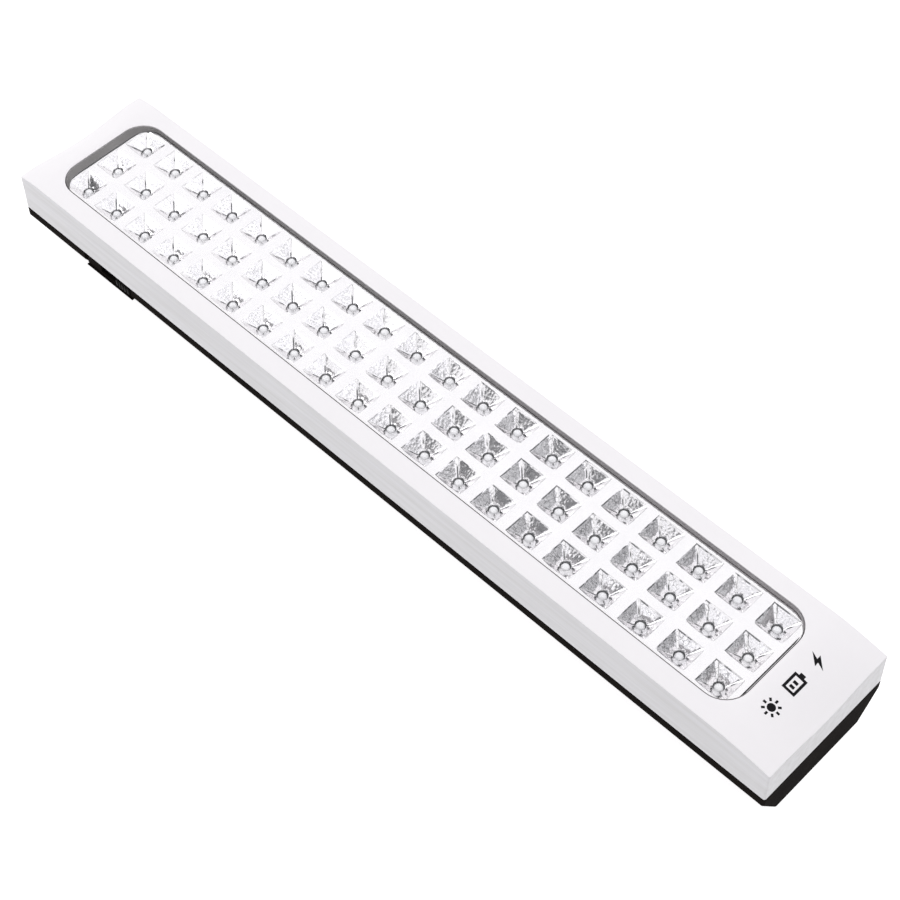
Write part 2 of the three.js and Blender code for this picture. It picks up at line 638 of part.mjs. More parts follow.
const charger = new THREE.Group();
charger.position.set(-76, 0, CHARGER_BOARD_Z);
light.add(charger);
const ON_BOARD = BOARD_THICKNESS + GAP;
place(charger, 'charger_board', box(-26, 26, -15, 15, 0, BOARD_THICKNESS), CIRCUIT_BOARD());
place(charger, 'dropper_capacitor', box(-9, 9, -3.5, 3.5, 0, 9.6), YELLOW_FILM(), -13, 7, ON_BOARD);
place(charger, 'bridge_rectifier', box(-4.3, 4.3, -3.2, 3.2, 0, 3.4), BLACK_PLASTIC(), 4, 7, ON_BOARD);
place(charger, 'smoothing_capacitor', barX(-6, 6, 0, 4, 4, 14), BLUE_SLEEVE(), 14, -5, ON_BOARD);
place(charger, 'bleed_resistor', barX(-4, 4, 0, 1.5, 1.5, 10), BROWN_WIRE(), -13, -3, ON_BOARD);
place(charger, 'driver_transistor', box(-2.3, 2.3, -1.8, 1.8, 0, 5), BLACK_PLASTIC(), 17, 9, ON_BOARD);
place(charger, 'fuse', barX(-5, 5, 0, 2.6, 2.6, 12), NICKEL(), -13, -10.5, ON_BOARD);

const slideSwitch = new THREE.Group();
light.add(slideSwitch);
place(slideSwitch, 'switch_plate', switchPlate(), BLACK_PLASTIC());
place(slideSwitch, 'switch_knob', switchKnob(), BLACK_PLASTIC(), KNOB_REST_X);
place(slideSwitch, 'switch_body', switchBody(), NICKEL());
place(slideSwitch, 'switch_contact', box(-2, 2, -21.6, -18.8, 12.4, 14.3), NICKEL(), KNOB_REST_X);

const inlet = new THREE.Group();
light.add(inlet);
place(inlet, 'inlet_housing', inletHousing(), BLACK_PLASTIC());
[-1, 1].forEach((side, index) => {
  const pin = barX(INLET_FACE_X + 2.5, INLET_FACE_X + INLET_DEPTH + 3, 0, INLET_Z, INLET_PIN_RADIUS, 10);
  place(inlet, `inlet_pin_${index + 1}`, pin, NICKEL(), 0, side * INLET_PIN_PITCH / 2);
});
const indicatorLamp = barX(-HALF_LENGTH + 0.2, -HALF_LENGTH + 8, 0, INDICATOR_Z, INDICATOR_RADIUS, 12);
place(inlet, 'charge_indicator', indicatorLamp, RED_LAMP());

const wiring = new THREE.Group();
light.add(wiring);
const negativeRoute = [[-37.5, -4, 9.6], [-41, -6, 8.5], [-45, -7, 7.9], [-49, -8, 7.8]];
const positiveRoute = [
  [114.8, 4, 9.6], [114.2, 9, 9], [108, 12.8, 8.2], [70, 13.2, 8], [20, 13.2, 8],
  [-30, 13.2, 8], [-46, 11, 7.9], [-50, 8, 7.9],
];
const liveRoute = [[-148.4, 4.3, 8.5], [-142, 6, 8], [-125, 9, 8], [-110, 9, 8], [-103, 8, 7.9]];
const neutralRoute = [[-148.4, -4.3, 8.5], [-142, -6, 7.4], [-125, -8, 6], [-110, -7, 7], [-103, -5, 7.9]];
place(wiring, 'battery_wire_negative', wire(negativeRoute), BLACK_PLASTIC());
place(wiring, 'battery_wire_positive', wire(positiveRoute), RED_WIRE());
place(wiring, 'inlet_wire_live', wire(liveRoute), BROWN_WIRE());
place(wiring, 'inlet_wire_neutral', wire(neutralRoute), BLUE_WIRE());

export default light;
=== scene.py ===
"""A slim rechargeable emergency light that lies on its back on a pale floor.

Lengths are written in millimetres and scaled to metres when a mesh is made. +X runs to the
plain end of the light, +Z out of its window.
"""

import json
import math

import bmesh
import bpy
from mathutils import Matrix, Vector


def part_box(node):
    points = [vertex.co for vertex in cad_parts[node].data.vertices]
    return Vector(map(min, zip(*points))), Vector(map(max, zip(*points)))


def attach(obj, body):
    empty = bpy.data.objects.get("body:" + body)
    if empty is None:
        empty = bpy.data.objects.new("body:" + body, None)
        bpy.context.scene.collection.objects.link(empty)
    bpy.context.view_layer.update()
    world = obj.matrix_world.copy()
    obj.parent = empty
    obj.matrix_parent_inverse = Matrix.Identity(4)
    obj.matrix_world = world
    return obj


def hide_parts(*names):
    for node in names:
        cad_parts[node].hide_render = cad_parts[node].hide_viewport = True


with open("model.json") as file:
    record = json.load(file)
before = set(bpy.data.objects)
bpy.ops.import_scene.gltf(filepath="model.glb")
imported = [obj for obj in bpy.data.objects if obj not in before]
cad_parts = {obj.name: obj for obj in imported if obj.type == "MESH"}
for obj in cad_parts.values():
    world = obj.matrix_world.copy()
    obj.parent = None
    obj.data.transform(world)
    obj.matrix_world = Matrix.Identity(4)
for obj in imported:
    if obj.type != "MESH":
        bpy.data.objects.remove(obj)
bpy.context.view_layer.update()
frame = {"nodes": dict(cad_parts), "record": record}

MM = 0.001
SCENE = bpy.context.scene


def box_mm(node_name):
    """Lowest and highest corners of a CAD node, in millimetres."""
    low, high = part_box(node_name)
    return low / MM, high / MM


# ---- Sizes taken from the frame ----
TOP_LOW, TOP_HIGH = box_mm("top_shell")
GASKET_LOW, GASKET_HIGH = box_mm("window_gasket")
LENS_Z = box_mm("lens")[0].z
BOARD_LOW, BOARD_HIGH = box_mm("led_board")
PLATE_LOW, PLATE_HIGH = box_mm("switch_plate")
KNOB_LOW, KNOB_HIGH = box_mm("switch_knob")
INLET_LOW, INLET_HIGH = box_mm("inlet_housing")

HALF_LENGTH = TOP_HIGH.x
HALF_WIDTH = TOP_HIGH.y
TOP_Z = TOP_HIGH.z
TOP_BOTTOM_Z = TOP_LOW.z
BASE_TOP_Z = box_mm("base_shell")[1].z
WINDOW_CENTRE_X = (GASKET_LOW.x + GASKET_HIGH.x) / 2
GASKET_GAP = 0.3
WINDOW_HALF_X = (GASKET_HIGH.x - GASKET_LOW.x) / 2 + GASKET_GAP
WINDOW_HALF_Y = GASKET_HIGH.y + GASKET_GAP
WINDOW_RADIUS = 9.0
RIB_Z = GASKET_LOW.z - GASKET_GAP
GAP = 0.3

# ---- Shell shape ----
WALL = 2.0
CORNER_RADIUS = 0.8
SIDE_DRAFT = 0.3
EDGE_ROLL = 0.35
CREASE_DROP = 0.6
ROOF_Z = 30.7
ROOF_DEPTH = 1.9
FAR_DROOP = 1.2
FAR_DROOP_LENGTH = 9.0
PLAIN_DROOP = 2.6
PLAIN_DROOP_LENGTH = 20.0
END_DISH = 2.2
LIP_BOTTOM_Z = 12.6
BOTTOM_HALF_WIDTH = 20.0
BOTTOM_BEVEL = 1.2
FAR_END_DRAFT = 2.0
SCREW_BOSS_RADIUS = 3.1
SCREW_PILOT_RADIUS = 1.8
SCREW_PILOT_TOP_Z = 26.0
SCREW_POST_RADIUS = 3.8
# Head radius, head height and shank radius.
SCREW_SIZES = {"case_screw": (2.8, 2.1, 1.45), "board_screw": (2.2, 1.3, 1.0)}
CELL_SADDLE_OFFSETS = (8, 56, 106, 142)
CELL_SADDLE_HALF_WIDTH = 11
CELL_SADDLE_TOP_Z = 7
BOARD_STAND_X = 22
BOARD_STAND_Y = 12
KEYHOLE_XS = (-120.0, 130.0)
KEYHOLE_DEPTH = 4
KEYHOLE_SLOT = (6.0, 2.2, 2.19)

# ---- Cups and lamps ----
CUP_COLUMNS = 20
CUP_ROWS = 3
CUP_PITCH_X = 15.0
CUP_PITCH_Y = 13.4
CUP_HALF_X = 5.25
CUP_HALF_Y = 4.75
CUP_DEPTH = 3.8
CUP_FLOOR_X = 1.8
CUP_FLOOR_Y = 1.5
CUP_HOLE_RADIUS = 1.85
CUP_ROUND_OVER = 0.3
REFLECTOR_SHEET = 0.8
LAMP_RADIUS = 1.5
LAMP_TIP_Z = 28.0
LAMP_BOARD_TOP_Z = 22.7
LAMP_FOOT_RADIUS = 1.85
BOARD_THICKNESS = 1.6
GASKET_LINE = 0.25
GASKET_FAR_SLOPE = 2.25
LENS_THICKNESS = 0.28
LENS_INSET = 1.2
LENS_COUNTS = (80, 12, 8)
CUP_CORNER_RADIUS = 0.85
CUP_BOW = 0.1
# Points along a cup outline's long sides, short sides and corners.
CUP_COUNTS = (10, 10, 5)
# Turns the distance along X into an angle that goes round once from cup to cup.
CUP_TURN = 2 * math.pi / (CUP_PITCH_X * MM)

# ---- Finishes: relief in metres, scales per metre ----
RELIEF_DEPTH = 0.0001
HAMMER_SCALE = 900.0
SPOT_SCALE = 310.0
# Scales, drift and strength of the painted crackled reflection lines on the reflector's far walls.
REFLECTION_CRACK_SCALE = 520.0
REFLECTION_CRACK_DRIFT = 0.0016
REFLECTION_CRACK_DRIFT_SCALE = 700.0
REFLECTION_CRACK_STRENGTH = 0.55

# ---- Switch ----
KNOB_TRAVEL = 8.0
KNOB_GROOVES = (-2.1, -0.7, 0.7, 2.1)
KNOB_NECK_HALF = 1.5

# ---- Printed symbols ----
PRINT_X = 154.0
PRINT_PITCH = 10.6
PRINT_RISE = 0.035
PRINT_SINK = 0.06

# ---- Camera and light ----
CAMERA_AZIMUTH = 45.3
CAMERA_ELEVATION = 53.75
CAMERA_ROLL = -1.27
CAMERA_DISTANCE = 0.626
CAMERA_TARGET = Vector((0.0239, -0.0083, 0.0313))
CAMERA_LENS = 80.0
CAMERA_SENSOR = 36.0
KEY_LIGHT_PLACE = Vector((-0.5, -0.45, 0.5))
KEY_LIGHT_SIZE = 0.4
KEY_LIGHT_ENERGY = 0.8
FLOOR_HALF = 2600.0
FLOOR_STEPS = 24
# Dimmer parts of the studio: azimuth, half width, elevation, half height, soft edge (degrees),
# and the brightness at the dark and light spots of its clutter.
STUDIO_PATCHES = (
    (-62.0, 38.0, 10.0, 24.0, 8.0, 0.1, 0.1),
    (-136.0, 14.0, 24.0, 14.0, 4.0, 0.55, 1.4),
    (24.0, 30.0, 31.0, 8.0, 4.0, 0.6, 1.4),
    (-114.5, 3.0, 18.0, 7.0, 1.4, 0.06, 0.11),
    (-112.0, 18.0, 45.0, 10.0, 3.0, 0.06, 0.6),
    (-105.0, 5.0, 18.0, 9.0, 2.0, 0.5, 1.3),
    (27.0, 50.0, 8.0, 17.0, 4.0, 0.08, 0.72),
)
STUDIO_STRENGTH = 1.16


# ---- Mesh helpers ----
def new_object(name, mesh):
    obj = bpy.data.objects.new(name, mesh)
    SCENE.collection.objects.link(obj)
    return obj


def mesh_object(name, points, faces):
    """An object from points in millimetres and faces of point numbers."""
    mesh = bpy.data.meshes.new(name)
    mesh.from_pydata([(x * MM, y * MM, z * MM) for x, y, z in points], [], faces)
    mesh.update()
    return new_object(name, mesh)


def soften(obj, degrees=32):
    """Smooth shading, with edges sharper than the angle kept crisp."""
    bm = bmesh.new()
    bm.from_mesh(obj.data)
    bmesh.ops.recalc_face_normals(bm, faces=bm.faces)
    for face in bm.faces:
        face.smooth = True
    for edge in bm.edges:
        edge.smooth = edge.is_manifold and edge.calc_face_angle(0) < math.radians(degrees)
    bm.to_mesh(obj.data)
    bm.free()


def clean(obj, distance=0.002):
    """Merges points that coincide and drops faces with no area."""
    bm = bmesh.new()
    bm.from_mesh(obj.data)
    bmesh.ops.remove_doubles(bm, verts=bm.verts, dist=distance * MM)
    bmesh.ops.dissolve_degenerate(bm, dist=distance * MM, edges=bm.edges)
    bm.to_mesh(obj.data)
    bm.free()
    return obj


def loft(name, loops, start_cap=False, end_cap=False, wrap=False):
    """A skin over closed loops that all have the same number of points."""
    count = len(loops[0])
    points = [point for loop in loops for point in loop]
    faces = []
    last = len(loops) if wrap else len(loops) - 1
    for i in range(last):
        here = i * count
        there = ((i + 1) % len(loops)) * count
        for k in range(count):
            n = (k + 1) % count
            faces.append((here + k, here + n, there + n, there + k))
    if start_cap:
        faces.append(tuple(range(count - 1, -1, -1)))
    if end_cap:
        first = (len(loops) - 1) * count
        faces.append(tuple(range(first, first + count)))
    return mesh_object(name, points, faces)


def joined(name, objects):
    """One object that holds the meshes of several, which are removed."""
    bm = bmesh.new()
    for obj in objects:
        bm.from_mesh(obj.data)
        bpy.data.objects.remove(obj)
    mesh = bpy.data.meshes.new(name)
    bm.to_mesh(mesh)
    bm.free()
    return new_object(name, mesh)


def carved(target, tool, operation="DIFFERENCE"):
    """The target with the tool cut from it, added to it or shared with it."""
    modifier = target.modifiers.new("carve", "BOOLEAN")
    modifier.operation = operation
    modifier.solver = "EXACT"
    modifier.object = tool
    graph = bpy.context.evaluated_depsgraph_get()
    mesh = bpy.data.meshes.new_from_object(target.evaluated_get(graph))
    target.modifiers.clear()
    target.data = mesh
    bpy.data.objects.remove(tool)
    return target


def block(name, low, high, radius=0.3, segments=3):
    """A box with rounded edges between two corners."""
    size = [(high[i] - low[i]) * MM for i in range(3)]
    middle = [(high[i] + low[i]) / 2 * MM for i in range(3)]
    bm = bmesh.new()
    bmesh.ops.create_cube(bm, size=1.0)
    bmesh.ops.scale(bm, vec=size, verts=bm.verts)
    if radius > 0:
        bmesh.ops.bevel(
            bm, geom=bm.edges[:], offset=radius * MM, segments=segments, profile=0.5, affect="EDGES"
        )
    bmesh.ops.translate(bm, vec=middle, verts=bm.verts)
    mesh = bpy.data.meshes.new(name)
    bm.to_mesh(mesh)
    bm.free()
    return new_object(name, mesh)


def turned(name, profile, centre=(0, 0, 0), axis="Z", segments=32):
    """A lathed body. The profile is (radius, height) pairs that start and end on the axis."""
    x0, y0, z0 = centre
    points = []
    faces = []
    rings = []
    for radius, height in profile:
        if radius < 1e-6:
            rings.append([len(points)])
            points.append((0, 0, height))
            continue
        rings.append(list(range(len(points), len(points) + segments)))
        for k in range(segments):
            angle = 2 * math.pi * k / segments
            points.append((radius * math.cos(angle), radius * math.sin(angle), height))
    for low, high in zip(rings, rings[1:]):
        for k in range(segments):
            n = (k + 1) % segments
            if len(low) == 1 and len(high) > 1:
                faces.append((low[0], high[n], high[k]))
            elif len(high) == 1 and len(low) > 1:
                faces.append((low[k], low[n], high[0]))
            elif len(low) > 1:
                faces.append((low[k], low[n], high[n], high[k]))
    if axis == "X":
        points = [(z, x, y) for x, y, z in points]
    elif axis == "Y":
        points = [(y, z, x) for x, y, z in points]
    points = [(x + x0, y + y0, z + z0) for x, y, z in points]
    return mesh_object(name, points, faces)


def rod(radius, low, high):
    """Profile of a plain round bar between two heights."""
    return [(0, low), (radius, low), (radius, high), (0, high)]


def middle_xy(node_name):
    """Middle of a CAD node as seen from above."""
    low, high = box_mm(node_name)
    return (low.x + high.x) / 2, (low.y + high.y) / 2


def arc_point(centre_x, centre_y, radius, degrees):
    angle = math.radians(degrees)
    return centre_x + radius * math.cos(angle), centre_y + radius * math.sin(angle)


def rounded_outline(half_x, half_y, radius, centre_x=0.0, counts=(160, 32, 8)):
    """A rounded rectangle. Equal counts give loops whose points match one to one."""
    long_count, short_count, corner_count = counts
    inner_x = half_x - radius
    inner_y = half_y - radius
    corners = [
        (inner_x, inner_y, 0, short_count),
        (-inner_x, inner_y, 90, long_count),
        (-inner_x, -inner_y, 180, short_count),
        (inner_x, -inner_y, 270, long_count),
    ]
    points = []
    last = (half_x, -inner_y)
    for x, y, start, side_count in corners:
        first = arc_point(x, y, radius, start)
        for k in range(side_count):
            t = k / side_count
            points.append((last[0] + (first[0] - last[0]) * t, last[1] + (first[1] - last[1]) * t))
        for k in range(corner_count):
            points.append(arc_point(x, y, radius, start + 90 * k / corner_count))
        last = arc_point(x, y, radius, start + 90)
    return [(centre_x + x, y) for x, y in points]


def between(outer, inner, t):
    """The loop a share of the way from the outer loop to the inner one."""
    return [(a[0] + (b[0] - a[0]) * t, a[1] + (b[1] - a[1]) * t) for a, b in zip(outer, inner)]


# ---- Surfaces of the top shell ----
def top_height(x, y):
    """Height of the top face: flat, a little lower at the sides, drooping and dished at the ends."""
    side = max(0.0, abs(y) - WINDOW_HALF_Y) / (HALF_WIDTH - WINDOW_HALF_Y)
    dish = END_DISH * (0.5 + 0.5 * math.cos(math.pi * y / HALF_WIDTH))
    plain = max(0.0, x - HALF_LENGTH + PLAIN_DROOP_LENGTH) / PLAIN_DROOP_LENGTH
    far = max(0.0, -x - HALF_LENGTH + FAR_DROOP_LENGTH) / FAR_DROOP_LENGTH
    droop = (PLAIN_DROOP + dish) * plain**1.5 + (FAR_DROOP + dish) * far**1.5
    return TOP_Z - CREASE_DROP * side - droop


def roof_height(x, y):
    return min(ROOF_Z, top_height(x, y) - ROOF_DEPTH)


def body_outline(inset):
    radius = max(CORNER_RADIUS - inset, 0.5)
    return rounded_outline(HALF_LENGTH - inset, HALF_WIDTH - inset, radius)


def window_outline(inset, counts=(160, 32, 8)):
    half_x, half_y, radius = WINDOW_HALF_X - inset, WINDOW_HALF_Y - inset, WINDOW_RADIUS - inset
    return rounded_outline(half_x, half_y, radius, WINDOW_CENTRE_X, counts)


def level(outline, z):
    return [(x, y, z) for x, y in outline]


def draped(outline, height, offset=0.0):
    return [(x, y, height(x, y) + offset) for x, y in outline]


def make_top_shell():
    """The outer side from the rim up, the rolled edge, the top face, then the inside back to the rim."""
    rim = 0.2
    lip = 0.12
    foot = 0.04
    low = TOP_BOTTOM_Z + rim
    loops = [level(body_outline(rim), TOP_BOTTOM_Z), level(body_outline(foot), low)]
    edge = body_outline(SIDE_DRAFT + EDGE_ROLL)
    edge_z = [top_height(x, y) for x, y in edge]
    side_steps = 5
    for k in range(1, side_steps + 1):
        t = k / side_steps
        ring = body_outline(foot + (SIDE_DRAFT - foot) * t)
        loops.append([
            (x, y, low + (z - EDGE_ROLL - low) * t) for (x, y), z in zip(ring, edge_z)
        ])
    roll_steps = 6
    for k in range(1, roll_steps + 1):
        a = math.radians(90 * k / roll_steps)
        ring = body_outline(SIDE_DRAFT + EDGE_ROLL * (1 - math.cos(a)))
        loops.append([
            (x, y, z - EDGE_ROLL * (1 - math.sin(a))) for (x, y), z in zip(ring, edge_z)
        ])
    mouth = window_outline(-lip)
    plate_steps = 16
    for k in range(1, plate_steps + 1):
        loops.append(draped(between(edge, mouth, k / plate_steps), top_height))
    for k in range(1, 4):
        a = math.radians(30 * k)
        ring = window_outline(-lip * (1 - math.sin(a)))
        loops.append(draped(ring, top_height, -lip * (1 - math.cos(a))))
    opening = window_outline(0)
    loops.append(draped(opening, roof_height))
    cavity = body_outline(WALL)
    roof_steps = 8
    for k in range(1, roof_steps + 1):
        loops.append(draped(between(opening, cavity, k / roof_steps), roof_height))
    loops.append(level(cavity, low))
    loops.append(level(body_outline(WALL - rim), TOP_BOTTOM_Z))
    return loft("top_shell_moulding", loops, wrap=True)


def screw_places():
    return [middle_xy(f"case_screw_{index}") for index in range(1, 5)]


def add_top_details(shell):
    """Screw bosses under the top face, and the hole for the charging lamp."""
    foot = TOP_BOTTOM_Z
    for x, y in screw_places():
        roof = roof_height(x, y) + 0.9
        profile = [
            (0, foot), (SCREW_BOSS_RADIUS - GAP, foot), (SCREW_BOSS_RADIUS, foot + 0.4),
            (SCREW_BOSS_RADIUS, roof), (0, roof),
        ]
        carved(shell, turned("boss", profile, (x, y, 0)), "UNION")
        pilot = rod(SCREW_PILOT_RADIUS, foot - 1, SCREW_PILOT_TOP_Z)
        carved(shell, turned("pilot", pilot, (x, y, 0)))
    lamp_low, lamp_high = box_mm("charge_indicator")
    radius = (lamp_high.z - lamp_low.z) / 2 + GAP
    centre_z = (lamp_high.z + lamp_low.z) / 2
    hole = rod(radius, -HALF_LENGTH - 1, -HALF_LENGTH + 6)
    return carved(shell, turned("hole", hole, (0, 0, centre_z), "X"))


# ---- Base shell ----
def base_outline(z, inset=0.0):
    """Outline of the base at a height. Below the lip its sides and its far end lean inwards."""
    share = min(1.0, max(0.0, (z - BOTTOM_BEVEL) / (LIP_BOTTOM_Z - BOTTOM_BEVEL)))
    half_y = BOTTOM_HALF_WIDTH + (HALF_WIDTH - BOTTOM_HALF_WIDTH) * share
    lean = FAR_END_DRAFT * (1 - share)
    shrink = inset + max(0.0, BOTTOM_BEVEL - z)
    radius = max(CORNER_RADIUS - inset * 0.5, 0.5)
    return rounded_outline(HALF_LENGTH - lean / 2 - shrink, half_y - shrink, radius, lean / 2)


def make_base_shell():
    """The outside from the bottom up, over the rim, and down the inside to the floor."""
    rim = 0.25
    steps = 8
    heights = [0.0, 0.35, 0.75, BOTTOM_BEVEL]
    for k in range(1, steps + 1):
        heights.append(BOTTOM_BEVEL + (LIP_BOTTOM_Z - 0.3 - BOTTOM_BEVEL) * k / steps)
    heights += [LIP_BOTTOM_Z, LIP_BOTTOM_Z + 0.3]
    loops = [level(base_outline(z), z) for z in heights]
    for inset, drop in ((0.0, rim), (rim, 0.0), (WALL - rim, 0.0), (WALL, rim)):
        loops.append(level(body_outline(inset), BASE_TOP_Z - drop))
    for z in (LIP_BOTTOM_Z, 9.0, 5.5, WALL + 0.6):
        loops.append(level(base_outline(z, WALL), z))
    loops.append(level(base_outline(WALL, WALL + 0.6), WALL))
    return loft("base_shell_moulding", loops, start_cap=True, end_cap=True)


def add_screw_posts(shell):
    top = BASE_TOP_Z
    radius = SCREW_POST_RADIUS
    profile = [(0, WALL / 2), (radius, WALL / 2), (radius, top - 0.3), (radius - 0.3, top), (0, top)]
    for x, y in screw_places():
        carved(shell, turned("post", profile, (x, y, 0)), "UNION")


def add_cell_saddles(shell):
    """Cross ribs with a round bed for the cells."""
    low, high = box_mm("battery_cell_1")
    axis_z = (low.z + high.z) / 2
    radius = (high.z - low.z) / 2 + GAP
    half = CELL_SADDLE_HALF_WIDTH
    for offset in CELL_SADDLE_OFFSETS:
        x = low.x + offset
        saddle = block("saddle", (x, -half, WALL / 2), (x + 2, half, CELL_SADDLE_TOP_Z), 0.25, 2)
        carved(saddle, turned("bed", rod(radius, x - 3, x + 5), (0, 0, axis_z), "X", 48))
        carved(shell, saddle, "UNION")


def add_board_stands(shell):
    low, high = box_mm("charger_board")
    middle = (low.x + high.x) / 2
    top = low.z - GAP
    profile = [(0, WALL / 2), (2.2, WALL / 2), (2.0, top), (0, top)]
    for dx in (-BOARD_STAND_X, BOARD_STAND_X):
        for y in (-BOARD_STAND_Y, BOARD_STAND_Y):
            carved(shell, turned("stand", profile, (middle + dx, y, 0), "Z", 20), "UNION")


def add_switch_recess(shell):
    """A thick patch of wall with a recess for the plate and a slit for the knob's neck."""
    low, high = PLATE_LOW, PLATE_HIGH
    backing = block(
        "backing", (low.x, -HALF_WIDTH + 0.1, low.z - 0.6), (high.x, -23.2, BASE_TOP_Z), 0.0
    )
    carved(shell, backing, "UNION")
    recess_low = (low.x - GAP, -HALF_WIDTH - 1, low.z - GAP)
    recess_high = (high.x + GAP, high.y + GAP, BASE_TOP_Z + 1)
    carved(shell, block("recess", recess_low, recess_high, 0.0))
    knob_x = (KNOB_LOW.x + KNOB_HIGH.x) / 2
    neck = block(
        "neck", (knob_x - KNOB_TRAVEL - 2, -HALF_WIDTH, 11.8), (knob_x + 2, -22.2, 14.9), 0.0
    )
    carved(shell, neck)


def add_base_openings(shell):
    """The inlet's opening, the stepped screw bores and the two keyholes."""
    inlet = block(
        "inlet", (-HALF_LENGTH - 1, INLET_LOW.y - GAP, INLET_LOW.z - GAP),
        (-HALF_LENGTH + 6, INLET_HIGH.y + GAP, INLET_HIGH.z + GAP), 0.5, 3,
    )
    carved(shell, inlet)
    top = BASE_TOP_Z + 1
    head, shank = SCREW_BOSS_RADIUS, SCREW_PILOT_RADIUS
    profile = [(0, -1), (head + 0.6, -1), (head, 0.6), (head, 11), (shank, 11), (shank, top), (0, top)]
    for x, y in screw_places():
        carved(shell, turned("bore", profile, (x, y, 0)))
    entry = [(0, -1), (4.5, -1), (4.2, 0.3), (4.2, KEYHOLE_DEPTH), (0, KEYHOLE_DEPTH)]
    for x in KEYHOLE_XS:
        carved(shell, turned("entry", entry, (x, 0, 0), "Z", 40))
        slot = rounded_outline(*KEYHOLE_SLOT, x + 4.2, (12, 2, 8))
        carved(shell, loft("slot", [level(slot, -1), level(slot, KEYHOLE_DEPTH)], True, True))


def make_base_fittings(shell):
    """Posts, saddles and stands inside, and every opening through the base."""
    add_screw_posts(shell)
    add_cell_saddles(shell)
    add_board_stands(shell)
    add_switch_recess(shell)
    add_base_openings(shell)
    return shell


# ---- Window: gasket, lens, cups, lamps ----
def gasket_outline(share):
    """The sloped gasket: wide at the far end, a thin line elsewhere."""
    outer = window_outline(GASKET_GAP)
    count = len(outer)
    ring = []
    for k, (x, y) in enumerate(outer):
        before_x, before_y = outer[k - 1]
        after_x, after_y = outer[(k + 1) % count]
        dx = after_x - before_x
        dy = after_y - before_y
        length = math.hypot(dx, dy)
        out_x, out_y = dy / length, -dx / length
        inset = GASKET_LINE + GASKET_FAR_SLOPE * max(0.0, -out_x) ** 1.5
        ring.append((x - out_x * inset * share, y - out_y * inset * share))
    return ring


def make_gasket():
    top = GASKET_HIGH.z
    bottom = GASKET_LOW.z
    rings = (
        (0.0, bottom), (0.0, top - 0.15), (0.12, top), (0.3, top - 0.12),
        (0.75, bottom + 0.45), (0.95, bottom + 0.22), (1.0, bottom),
    )
    loops = [level(gasket_outline(share), z) for share, z in rings]
    return loft("window_gasket_ring", loops, wrap=True)


def make_lens():
    """A clear sheet under the gasket's slope, with a narrow bevel round its edge."""
    low = LENS_Z
    high = low + LENS_THICKNESS
    outline = window_outline(LENS_INSET, LENS_COUNTS)
    small = window_outline(LENS_INSET + 0.1, LENS_COUNTS)
    loops = [level(outline, low), level(outline, high - 0.06), level(small, high)]
    return loft("lens_sheet", loops, start_cap=True, end_cap=True)


def cup_centres():
    middle_x = (BOARD_LOW.x + BOARD_HIGH.x) / 2
    centres = []
    for column in range(CUP_COLUMNS):
        for row in range(CUP_ROWS):
            x = middle_x + (column - (CUP_COLUMNS - 1) / 2) * CUP_PITCH_X
            y = (row - (CUP_ROWS - 1) / 2) * CUP_PITCH_Y
            centres.append((x, y))
    return centres


def cup_ring(half_x, half_y, radius, bow=0.0):
    """One level of a cup, centred on the lamp. The bow swells its sides outwards, -Y most."""
    ring = []
    for x, y in rounded_outline(half_x, half_y, radius, 0.0, CUP_COUNTS):
        swell_x = bow * (1 - (y / half_y) ** 2)
        swell_y = bow * (1 - (x / half_x) ** 2) * (3.0 if y < 0 else 1.0)
        ring.append((x * (1 + swell_x / half_x), y * (1 + swell_y / half_y)))
    return ring


def cup_profile():
    """Rings of a cup from its cell border to the lamp hole, as (x, y, depth) points."""
    flat = cup_ring(CUP_PITCH_X / 2, CUP_PITCH_Y / 2, 0.001)
    levels = [[(x, y, 0.0) for x, y in flat]]
    rim = CUP_ROUND_OVER * 1.5
    levels.append([(x, y, 0.0) for x, y in cup_ring(CUP_HALF_X + rim, CUP_HALF_Y + rim, 1.0, CUP_BOW)])
    grow = 0.0
    depth = 0.0
    for k in range(5):
        a = math.radians(12.0 * k)
        grow = CUP_ROUND_OVER * 1.2 * (1 - math.sin(a))
        depth = CUP_ROUND_OVER * (1 - math.cos(a))
        ring = cup_ring(CUP_HALF_X + grow, CUP_HALF_Y + grow, CUP_CORNER_RADIUS, CUP_BOW)
        levels.append([(x, y, depth) for x, y in ring])
    start_x, start_y, start_depth = CUP_HALF_X + grow, CUP_HALF_Y + grow, depth
    steps = 8
    for k in range(1, steps + 1):
        t = k / steps
        half_x = start_x + (CUP_FLOOR_X - start_x) * t
        half_y = start_y + (CUP_FLOOR_Y - start_y) * t
        ring = cup_ring(half_x, half_y, CUP_CORNER_RADIUS - 0.35 * t, CUP_BOW * (1 - t))
        depth = start_depth + (CUP_DEPTH - start_depth) * t
        edge = CUP_HOLE_RADIUS + 0.05 + 0.12 * (1 - t)
        levels.append([cup_point(x, y, depth, edge) for x, y in ring])
    hole = []
    for x, y, depth in levels[-1]:
        shrink = CUP_HOLE_RADIUS / math.hypot(x, y)
        hole.append((x * shrink, y * shrink, facet_depth(x * shrink, y * shrink)))
    levels.append(hole)
    return levels


def facet_depth(x, y):
    """Depth of the plain funnel at a place inside the cup."""
    share_x = (CUP_HALF_X - abs(x)) / (CUP_HALF_X - CUP_FLOOR_X)
    share_y = (CUP_HALF_Y - abs(y)) / (CUP_HALF_Y - CUP_FLOOR_Y)
    return CUP_DEPTH * min(1.0, share_x, share_y)


def cup_point(x, y, depth, edge):
    """A point of the funnel, moved out to the lamp hole's edge when it lies inside it."""
    reach = math.hypot(x, y)
    if reach >= edge:
        return x, y, depth
    x, y = x * edge / reach, y * edge / reach
    return x, y, facet_depth(x, y)


